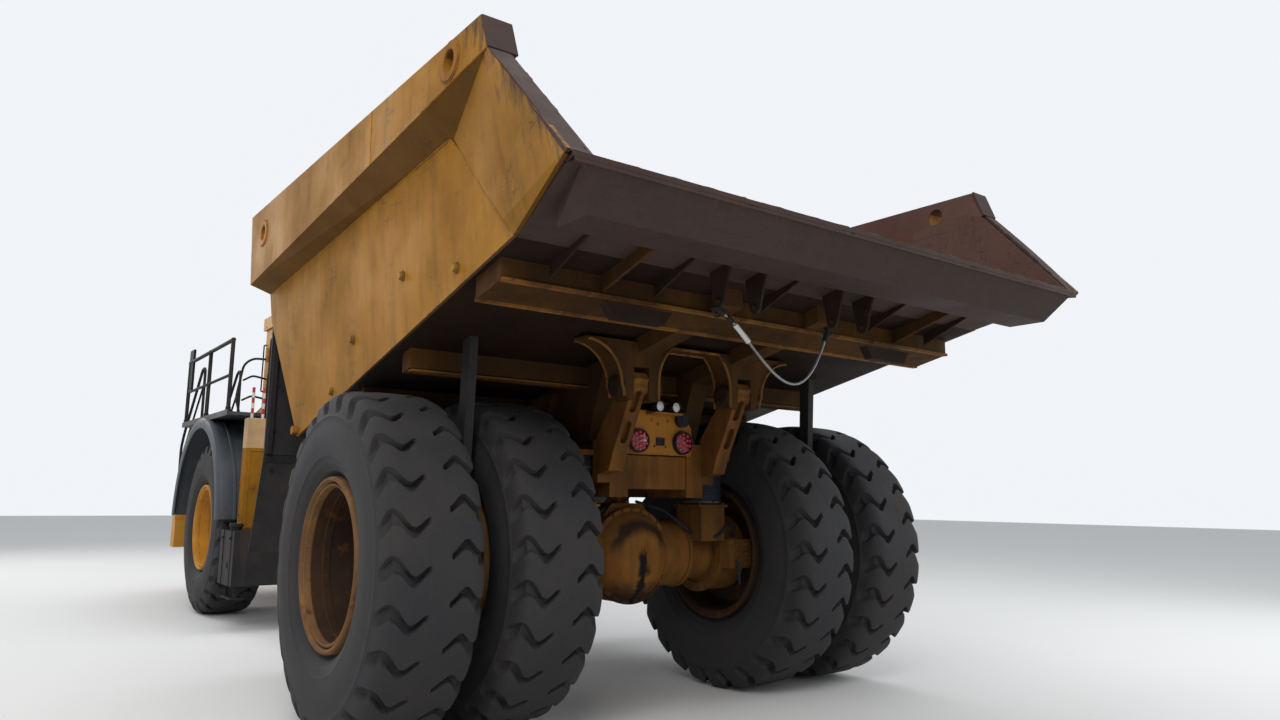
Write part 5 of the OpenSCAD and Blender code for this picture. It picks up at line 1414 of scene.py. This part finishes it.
def makeNose(values):
    pods, lens, amber, trim = Form(), Form(), Form(), Form()
    (x, y, z), r, face = values["lamp"], values["lampRadius"], values["face"]
    pods.plate("x", x - values["podHalf"], x + values["podHalf"], [(y + a, b) for a, b in values["pod"]])
    for dz in (0.052, -0.055):
        bezel = [(r + 0.006, 0), (r + 0.006, 0.016), (r, 0.018), (r - 0.002, 0.004), (0, 0.004)]
        pods.turned((x, y + 0.030, z + dz), ahead, bezel, 32)
        glass = [(r - 0.003, 0), (r - 0.004, 0.010), (r * 0.5, 0.017), (0.0, 0.019)]
        lens.turned((x, y + 0.026, z + dz), ahead, glass, 32)
    x, y = values["turn"]
    amber.turned((x, y, bumperTop + 0.06), ahead,
                 [(0.042, -0.02), (0.042, 0.012), (0.030, 0.020), (0, 0.022)], 24)
    pods.box((x - 0.05, y + 0.015, bumperTop), (x + 0.05, y + 0.065, 1.545))
    # steps let into the bumper's face, hooks and bolts
    for z in (0.95, 1.22):
        trim.box((0.46, face + 0.0005, z), (0.78, face + 0.020, z + 0.045))
    trim.turned((0.92, face + 0.001, 1.06), ahead, values["hook"], 28)
    trim.boltGrid((0.30, 1.08), (face + 0.010,), (0.90, 1.32), ahead, 0.018, 0.010)
    node = ["head_lamps"]
    makePiece("headLampPods", pods.mirrored(), "blackSteel", "tractor", 0.003, smooth=40, replaced=node)
    makePiece("headLampLenses", lens.mirrored(), "whiteLens", "tractor", smooth=60, replaced=node)
    makePiece("turnLamps", amber.mirrored(), "amberLens", "tractor", smooth=60)
    makePiece("bumperTrim", trim.mirrored(), "blackSteel", "tractor", bevel=0.002, smooth=40)
    print("nose is made")


makeNose(noseSet)


# Cab: window rubbers, handle, wipers, lamps under the roof, seat, dashboard and wheel

cabSet = {
    "half": 0.850, "y": (-3.690, -1.990), "sill": 2.810, "head": 3.690, "pillar": 0.090, "doorPost": -2.750,
    "doorGlass": (-3.450, -2.930, 3.600), "eaves": 3.690, "roof": (0.80, -3.66, -2.04),
    "roofSteps": ((0.0, 3.9295), (0.012, 3.938), (0.030, 3.942)),
}


def windowRubber(form, axis, start, end, a0, a1, b0, b1, wide=0.022):
    form.ring(axis, start, end, roundedRectangle(a0 - wide, a1 + wide, b0 - wide, b1 + wide, 0.050),
              roundedRectangle(a0 + 0.012, a1 - 0.012, b0 + 0.012, b1 - 0.012, 0.030))


def makeCab(values):
    half, (y0, y1), sill, head = values["half"], values["y"], values["sill"], values["head"]
    side, back = half - values["pillar"], y1 - values["pillar"]
    rubber, doorParts, doorRubber, steel, yellow, white = Form(), Form(), Form(), Form(), Form(), Form()
    for axis, start, end, a, b in (("y", y0 - 0.006, y0 + 0.022, -side, side),
                                   ("y", y1 - 0.022, y1 + 0.006, -side, side),
                                   ("x", -half - 0.006, -half + 0.022, y0 + values["pillar"], back),
                                   ("x", half - 0.022, half + 0.006, values["doorPost"], back)):
        windowRubber(rubber, axis, start, end, a, b, sill, head)
    a, b, top = values["doorGlass"]
    windowRubber(doorRubber, "x", half - 0.022, half + 0.005, a, b, sill, top)
    makePiece("windowRubbers", rubber, "gaiter", "tractor", bevel=0.003, smooth=40)
    # door handle in its cup, and a grab bar
    cup = [(0.030, 0), (0.030, 0.006), (0.024, 0.007), (0.0, 0.007)]
    doorParts.turned((half + 0.0005, -2.905, 2.700), alongX, cup, 20)
    doorParts.box((half + 0.010, -2.985, 2.690), (half + 0.022, -2.890, 2.712))
    bar = ((half, 2.62), (half + 0.036, 2.62), (half + 0.036, 2.775), (half, 2.775))
    doorParts.pipe([(x, -3.475, z) for x, z in bar], 0.009, 0.02)
    makePiece("doorRubber", doorRubber, "gaiter", "left_door", bevel=0.003, smooth=40)
    makePiece("doorHandle", doorParts, "blackSteel", "left_door", smooth=50)
    # wipers on the windscreen
    pivot = [(0.022, 0), (0.022, 0.020), (0.012, 0.030), (0.0, 0.032)]
    steel.turned((0.38, y0 - 0.001, sill - 0.050), ahead, pivot, 16)
    steel.tube([(0.38, y0 - 0.024, sill - 0.050), (0.20, y0 - 0.028, sill + 0.20),
                (0.10, y0 - 0.012, sill + 0.34)],
               0.006, 8)
    steel.box((0.093, y0 - 0.014, sill + 0.08), (0.107, y0 + 0.014, sill + 0.62))
    # lamps under the roof's eaves, front and rear
    for x, y, way in ((0.70, y0 - 0.002, -1), (0.48, y0 - 0.002, -1), (0.66, y1 + 0.002, 1)):
        z = values["eaves"]
        steel.box((x - 0.048, y, z), (x + 0.048, y + way * 0.040, z + 0.074))
        white.box((x - 0.042, y + way * 0.0395, z + 0.007), (x + 0.042, y + way * 0.044, z + 0.067))
    # grab bars by the pillars, and the seam and bolts round the roof
    bar = ((half + 0.001, 2.90), (half + 0.034, 2.90), (half + 0.034, 3.55), (half + 0.001, 3.55))
    steel.pipe([(x, y0 + 0.045, z) for x, z in bar], 0.010, 0.03)
    yellow.boltGrid((0.8805,), (-3.60, -3.00, -2.40, -2.05), (3.80,), alongX, 0.010, 0.008)
    yellow.box((0.844, -3.745, 3.760), (0.880, -1.955, 3.772))
    yellow.box((half - 0.001, y0 + 0.10, 2.62), (half + 0.005, y1 - 0.08, 2.628))
    for form in (steel, white, yellow):
        form.mirrored()
    # raised panel and ribs on the roof
    x, a, b = values["roof"]
    yellow.skin([[(*p, z) for p in roundedRectangle(-x + d, x - d, a + d, b - d, 0.10)]
                 for d, z in values["roofSteps"]], True, caps="last")
    for x in (-0.28, 0.0, 0.28):
        yellow.box((x - 0.012, -3.50, 3.940), (x + 0.012, -2.20, 3.9465))
    makePiece("cabSteelParts", steel, "blackSteel", "tractor", bevel=0.002, smooth=50)
    makePiece("cabTrim", yellow, "cabYellow", "tractor", bevel=0.002, smooth=40)
    makePiece("cabLamps", white, "whiteLens", "tractor", bevel=0.003)


seatSet = {
    "y": -2.665, "floor": 2.310, "rows": 15, "steps": 36, "power": 3.2, "dip": 0.012, "crease": 0.003,
    # place, size and lean of the two armrests, then of the seat, its back and the headrest
    "arm": ((0.300, 0.02, 0.60), (0.035, 0.160, 0.030), 0.0),
    "cushions": (((0, 0, 0.43), (0.255, 0.235, 0.060), 0.05),
                 ((0, 0.235, 0.78), (0.240, 0.300, 0.052), 1.36),
                 ((0, 0.300, 1.060), (0.150, 0.095, 0.045), 1.40)),
    "bellows": [(0.155, 0), (0.185, 0.0225), (0.155, 0.045)],
}


def signedPower(value, exponent):
    return math.copysign(abs(value) ** exponent, value)


def addCushion(form, values, place, size, lean):
    # a crowned cushion, with a dip where the sitter rests and creases across the cloth
    x, y, z = shift(place, 0, values["y"], values["floor"])
    rows, exponent = [], 2 / values["power"]
    for v in span(-math.pi / 2, math.pi / 2, values["rows"]):
        # the height's sign follows the angle, so that both ends close
        out, up = abs(math.cos(v)) ** exponent, math.copysign(abs(math.sin(v)) ** exponent, v)
        row = []
        for k in range(values["steps"]):
            a = 2 * math.pi * k / values["steps"]
            px = size[0] * out * signedPower(math.cos(a), exponent)
            py = size[1] * out * signedPower(math.sin(a), exponent)
            pz = size[2] * up
            if up > 0:
                pz -= values["dip"] * max(0.0, 1 - (px / size[0]) ** 2) * max(0.0, 1 - (py / size[1]) ** 2)
            if up > 0.5:
                pz -= values["crease"] * max(0.0, math.cos(py * 60))
            c, s = math.cos(lean), math.sin(lean)
            row.append((x + px, y + py * c - pz * s, z + py * s + pz * c))
        rows.append(row)
    form.skin(rows, True)


def makeSeat(values):
    seat, base = Form(), Form()
    y, floor = values["y"], values["floor"]
    addCushion(seat, values, *values["arm"])
    seat.mirrored()
    for row in values["cushions"]:
        addCushion(seat, values, *row)
    base.pipe([(0.300, y + 0.16, floor + 0.42), (0.300, y + 0.16, floor + 0.575),
               (0.300, y - 0.08, floor + 0.575)],
              0.012, 0.04)
    base.mirrored()
    base.box((-0.22, y - 0.20, floor + 0.330), (0.22, y + 0.20, floor + 0.375))
    base.box((-0.20, y - 0.22, floor + 0.001), (0.20, y + 0.22, floor + 0.060))
    for z in span(floor + 0.060, floor + 0.285, 6):
        base.turned((0, y, z), alongZ, values["bellows"], 32)
    # console with its levers
    base.box((0.310, y - 0.17, floor + 0.001), (0.470, y + 0.31, floor + 0.490))
    for x in span(0.345, 0.450, 4):
        base.rod((x, y - 0.02, floor + 0.488), (x, y - 0.03, floor + 0.60), 0.006, 10)
        base.turned((x, y - 0.03, floor + 0.60), alongZ,
                    [(0.0, 0), (0.013, 0.006), (0.013, 0.018), (0, 0.026)], 14)
    makePiece("seatCushions", seat, "seatCloth", "tractor", smooth=60, replaced=["cab_seat"])
    makePiece("seatBase", base, "plastic", "tractor", bevel=0.004, smooth=40, replaced=["cab_seat"])


dashSet = {
    "outline": [(0.062, 2.84), (0.20, 2.86), (0.32, 2.80), (0.34, 2.74), (0.26, 2.62), (0.20, 2.40),
                (0.062, 2.40)],
    "half": 0.62, "dials": ((-0.10, 0.050), (0.03, 0.050), (0.14, 0.030)), "pedals": (-0.16, 0.14),
    "hub": (0.505, 2.955), "wheelAxis": (0, 0.38, 0.92), "wheel": 0.205, "spokes": (90, 210, 330),
}


def makeDashboard(values):
    dash, y = Form(), cabSet["y"][0]
    dash.plate("x", -values["half"], values["half"], [(y + a, z) for a, z in values["outline"]])
    for x, r in values["dials"]:
        dial = [(r, 0), (r, 0.012), (r * 0.9, 0.014), (r * 0.88, 0.008), (0, 0.008)]
        dash.turned((x, y + 0.305, 2.79), (0, 0.8, 0.45), dial, 24)
    dash.rod((0, y + 0.30, 2.45), (0, y + 0.50, 2.94), 0.028, 16)
    hub = Vector((0, y + values["hub"][0], values["hub"][1]))
    axis = Vector(values["wheelAxis"]).normalized()
    side, other = Vector(alongX), axis.cross(Vector(alongX))
    dash.tube([hub + side * a + other * b for a, b in arc((0, 0), values["wheel"], 0, 360, 36)], 0.015, 10)
    dash.turned(hub - axis * 0.012, axis, [(0.045, 0), (0.052, 0.016), (0.040, 0.030), (0.0, 0.034)], 24)
    for angle in values["spokes"]:
        out = side * math.cos(math.radians(angle)) + other * math.sin(math.radians(angle))
        dash.tube([hub + out * 0.04, hub + out * 0.195], 0.010, 8)
    for x in values["pedals"]:
        dash.box((x - 0.045, y + 0.30, 2.330), (x + 0.045, y + 0.315, 2.46))
    makePiece("dashboard", dash, "plastic", "tractor", bevel=0.003, smooth=50)


def makeMirrors():
    mirrors, faces = Form(), Form()
    x = 1.620
    mirrors.ring("y", -4.368, -4.360, rectangle(x - 0.013, x + 0.013, 2.905, 3.495),
                 rectangle(x - 0.009, x + 0.009, 2.915, 3.485))
    for z in (2.96, 3.44):
        mirrors.pipe([(1.625, -4.57, z), (1.600, -4.56, z), (1.600, -4.50, z)], 0.010, 0.02)
        mirrors.bolt((1.604, -4.49, z), (-1, 0, 0), 0.012, 0.012)
    faces.box((1.6025, -4.595, 2.925), (1.6045, -4.385, 3.475))
    makePiece("mirrorFrames", mirrors.mirrored(), "blackSteel", "tractor", smooth=50)
    makePiece("mirrorFaces", faces.mirrored(), "chrome", "tractor")
    print("cab is made")


makeCab(cabSet)
makeSeat(seatSet)
makeDashboard(dashSet)
makeMirrors()


# Cylinders: glands, ports and pipes on each barrel, in its own body

cylinderSet = {
    "hoist": dict(base=(0.690, 1.930, 0.800), eye=(0.690, 3.380, 2.100),
                  barrel=0.080, long=1.817, body="hoist_cylinder_"),
    "steer": dict(base=(0.640, -2.030, 1.240), eye=(0.500, -0.350, 1.240),
                  barrel=0.055, long=1.140, body="steering_barrel_"),
}


def makeCylinderTrim(kind, values):
    base, eye = Vector(values["base"]), Vector(values["eye"])
    way, r, long = (eye - base).normalized(), values["barrel"], values["long"]
    trim = Form()
    for start, wide, deep in ((long - 0.075, 0.008, 0.026), (long - 0.030, 0.008, 0.026),
                              (0.165, 0.006, 0.032)):
        gland = [(r - 0.004, 0), (r + wide, 0.002), (r + wide, deep - 0.002), (r - 0.004, deep)]
        trim.turned(base + way * start, way, gland, 32, closed=True)
    # ports and the pipe along the barrel
    up = Vector(alongZ) if kind == "steer" else Vector((0, -way.z, way.y))
    up = (up - way * up.dot(way)).normalized()
    for d in (0.24, long - 0.12):
        trim.rod(base + way * d + up * (r - 0.01), base + way * d + up * (r + 0.028), 0.018, 12)
    if kind == "hoist":
        pipe = ((0.24, 0.022), (0.28, 0.034), (long - 0.16, 0.034), (long - 0.12, 0.022))
        trim.tube([base + way * d + up * (r + out) for d, out in pipe], 0.010, 10)
    for side, form in (("left", trim), ("right", trim.flipped())):
        makePiece(kind + "Trim" + side.title(), form, "frameYellow", values["body"] + side, smooth=45)


for kind, values in cylinderSet.items():
    makeCylinderTrim(kind, values)
print("cylinders are made")


# Frames: bolts, caps of the steering pin, hoses and pipes, and what shows of the engine

frameSet = {
    "frontRail": 0.4502, "frontBolts": (-5.60, -5.20, -4.80, -2.20, -1.80),
    "frontPlate": (-2.60, -1.60, 1.20, 1.50),
    "hoses": (1.38, 1.44, 1.50), "pinCaps": ((1.699, 1), (0.781, -1)),
    "pinCap": [(0.125, 0), (0.125, 0.016), (0.110, 0.022), (0.0, 0.022)],
    "rearRail": 0.4302, "rearBolts": (0.60, 1.00, 1.50, 2.10, 2.70, 3.20),
    "clips": (1.25, 1.85, 2.45, 3.05),
    "pipes": (1.64, 1.70),
}


def makeFrameTrim(values):
    front, rear, hoses, iron = Form(), Form(), Form(), Form()
    x = values["frontRail"]
    front.boltGrid((x,), values["frontBolts"], (1.24, 1.46), alongX, 0.016, 0.016)
    front.plate("x", x, 0.458, rectangle(*values["frontPlate"]))
    # the hose bundle down to the hitch, and its clamp
    for k, z in enumerate(values["hoses"]):
        hoses.pipe([(0.29, -3.30, z + 0.10), (0.29, -2.20, z + 0.06), (0.25 - 0.02 * k, -1.30, z + 0.10),
                    (0.20 - 0.03 * k, -1.10, z + 0.16)], 0.016, 0.12)
    front.box((0.085, -1.135, 1.50), (0.255, -1.100, 1.68))
    front.mirrored()
    for z, way in values["pinCaps"]:
        front.turned((0, hitchY, z), (0, 0, way), values["pinCap"], 40)
        front.bolts((0, hitchY, z + way * 0.018), (0, 0, way), 0.090, 8, 0.013, 0.014)
    makePiece("frontFrameTrim", front, "frameYellow", "tractor", bevel=0.002, smooth=40)
    makePiece("frontHoses", hoses.mirrored(), "gaiter", "tractor", smooth=60)

    rear.boltGrid((values["rearRail"],), values["rearBolts"], (1.62, 1.78), alongX, 0.014, 0.014)
    for y in values["clips"]:
        rear.box((0.427, y - 0.02, 1.615), (0.463, y + 0.02, 1.725))
    for z in values["pipes"]:
        iron.tube([(0.447, 1.10, z), (0.447, 3.20, z)], 0.010, 10)
    makePiece("rearFrameTrim", rear.mirrored(), "frameYellow", "rear_frame", bevel=0.002, smooth=40)
    makePiece("rearPipes", iron.mirrored(), "blackSteel", "rear_frame", smooth=60)


engineSet = {
    "covers": (-5.10, -4.00, 6), "side": (0.368, 0.392), "turbo": (0.34, -4.62, 2.12), "fan": (-5.42, 1.86),
    "turboShape": [(0.05, 0), (0.10, 0.02), (0.11, 0.10), (0.08, 0.16), (0.05, 0.16)],
    "exhaust": ((0.34, -4.40, 2.16), (0.34, -4.18, 2.18), (0.34, -4.05, 2.05), (0.34, -4.05, 1.80)),
    "fins": 30, "blades": 8, "blade": ((0.05, -0.02), (0.24, -0.045), (0.255, 0.035), (0.05, 0.02)),
}


def makeEngineParts(values):
    motor = Form()
    # ribs and covers on the engine's sides with their bolts, and the exhaust
    inner, outer = values["side"]
    for y in span(*values["covers"]):
        motor.box((inner, y, 1.62), (outer, y + 0.14, 2.02))
        motor.boltGrid((outer,), (y + 0.07,), (1.66, 1.98), alongX, 0.012, 0.012)
    motor.turned(values["turbo"], alongY, values["turboShape"], 28)
    motor.pipe(values["exhaust"], 0.045, 0.10, 14)
    motor.mirrored()
    # fins of the radiator, the fan's hub and blades
    for x in span(-0.54, 0.54, values["fins"]):
        motor.box((x - 0.004, -5.694, 1.60), (x + 0.004, -5.689, 2.14))
    y, z = values["fan"]
    motor.turned((0, y + 0.02, z), ahead, [(0.06, 0), (0.06, 0.05), (0.0, 0.06)], 20)
    for c, s in disc((0, 0), 1, values["blades"]):
        motor.skin([[(a * c - b * s, y + thick + b * 0.5, z + a * s + b * c) for a, b in values["blade"]]
                    for thick in (0.0, 0.006)], True, caps=True)
    makePiece("engineParts", motor, "castIron", "tractor", smooth=40)
    print("frame trim is made")


makeFrameTrim(frameSet)
makeEngineParts(engineSet)


# Floor and light

stageSet = {
    "floor": (0.80, 0.80, 0.79, 1), "half": 60, "sky": (0.93, 0.96, 1.0, 1),
    "skyFill": 0.52, "skySeen": 0.94,
    # place, what it points at, size, power and colour
    "keyLight": ((8, 12, 10), (0, 2.5, 1.5), 6.0, 900, (1.0, 0.98, 0.95)),
    "skyLight": ((0, 1, 15), (0, 1, 0), 13.0, 900, (0.95, 0.97, 1.0)),
    "fillLight": ((-10, 9, 5), (0, 3, 1.5), 6.0, 260, (0.95, 0.97, 1.0)),
    "frontLight": ((6, -14, 9), (0, -3, 1.5), 7.0, 520, (1.0, 0.98, 0.95)),
}


def makeStage(values):
    material, graph, shader = startMaterial("paleFloor", roughness=0.9)
    shader["Base Color"].default_value = values["floor"]
    ground = Form().box((-values["half"], -values["half"], -0.02), (values["half"], values["half"], 0.0))
    mesh = bpy.data.meshes.new("floor")
    mesh.from_pydata(ground.verts, [], ground.faces)
    mesh.materials.append(material)
    floor = bpy.data.objects.new("floor", mesh)
    bpy.context.scene.collection.objects.link(floor)
    world = bpy.data.worlds.new("studio")
    bpy.context.scene.world = world
    world.use_nodes = True
    graph, back = Graph(world.node_tree), world.node_tree.nodes["Background"].inputs
    seen = graph.node("LightPath").outputs
    rays = graph.most(graph.most(seen["Is Camera Ray"], seen["Is Glossy Ray"]), seen["Is Transmission Ray"])
    graph.join(graph.range(rays, 0, 1, values["skyFill"], values["skySeen"]), back["Strength"])
    back["Color"].default_value = values["sky"]
    for name in ("keyLight", "skyLight", "fillLight", "frontLight"):
        place, aim, size, power, colour = values[name]
        data = bpy.data.lights.new(name, "AREA")
        data.size, data.energy, data.color = size, power, colour
        lamp = bpy.data.objects.new(name, data)
        lamp.location = place
        lamp.rotation_euler = (Vector(aim) - Vector(place)).to_track_quat("-Z", "Y").to_euler()
        bpy.context.scene.collection.objects.link(lamp)
    bpy.context.scene.view_settings.view_transform = "Standard"
    print("stage and lamps are set")


makeStage(stageSet)
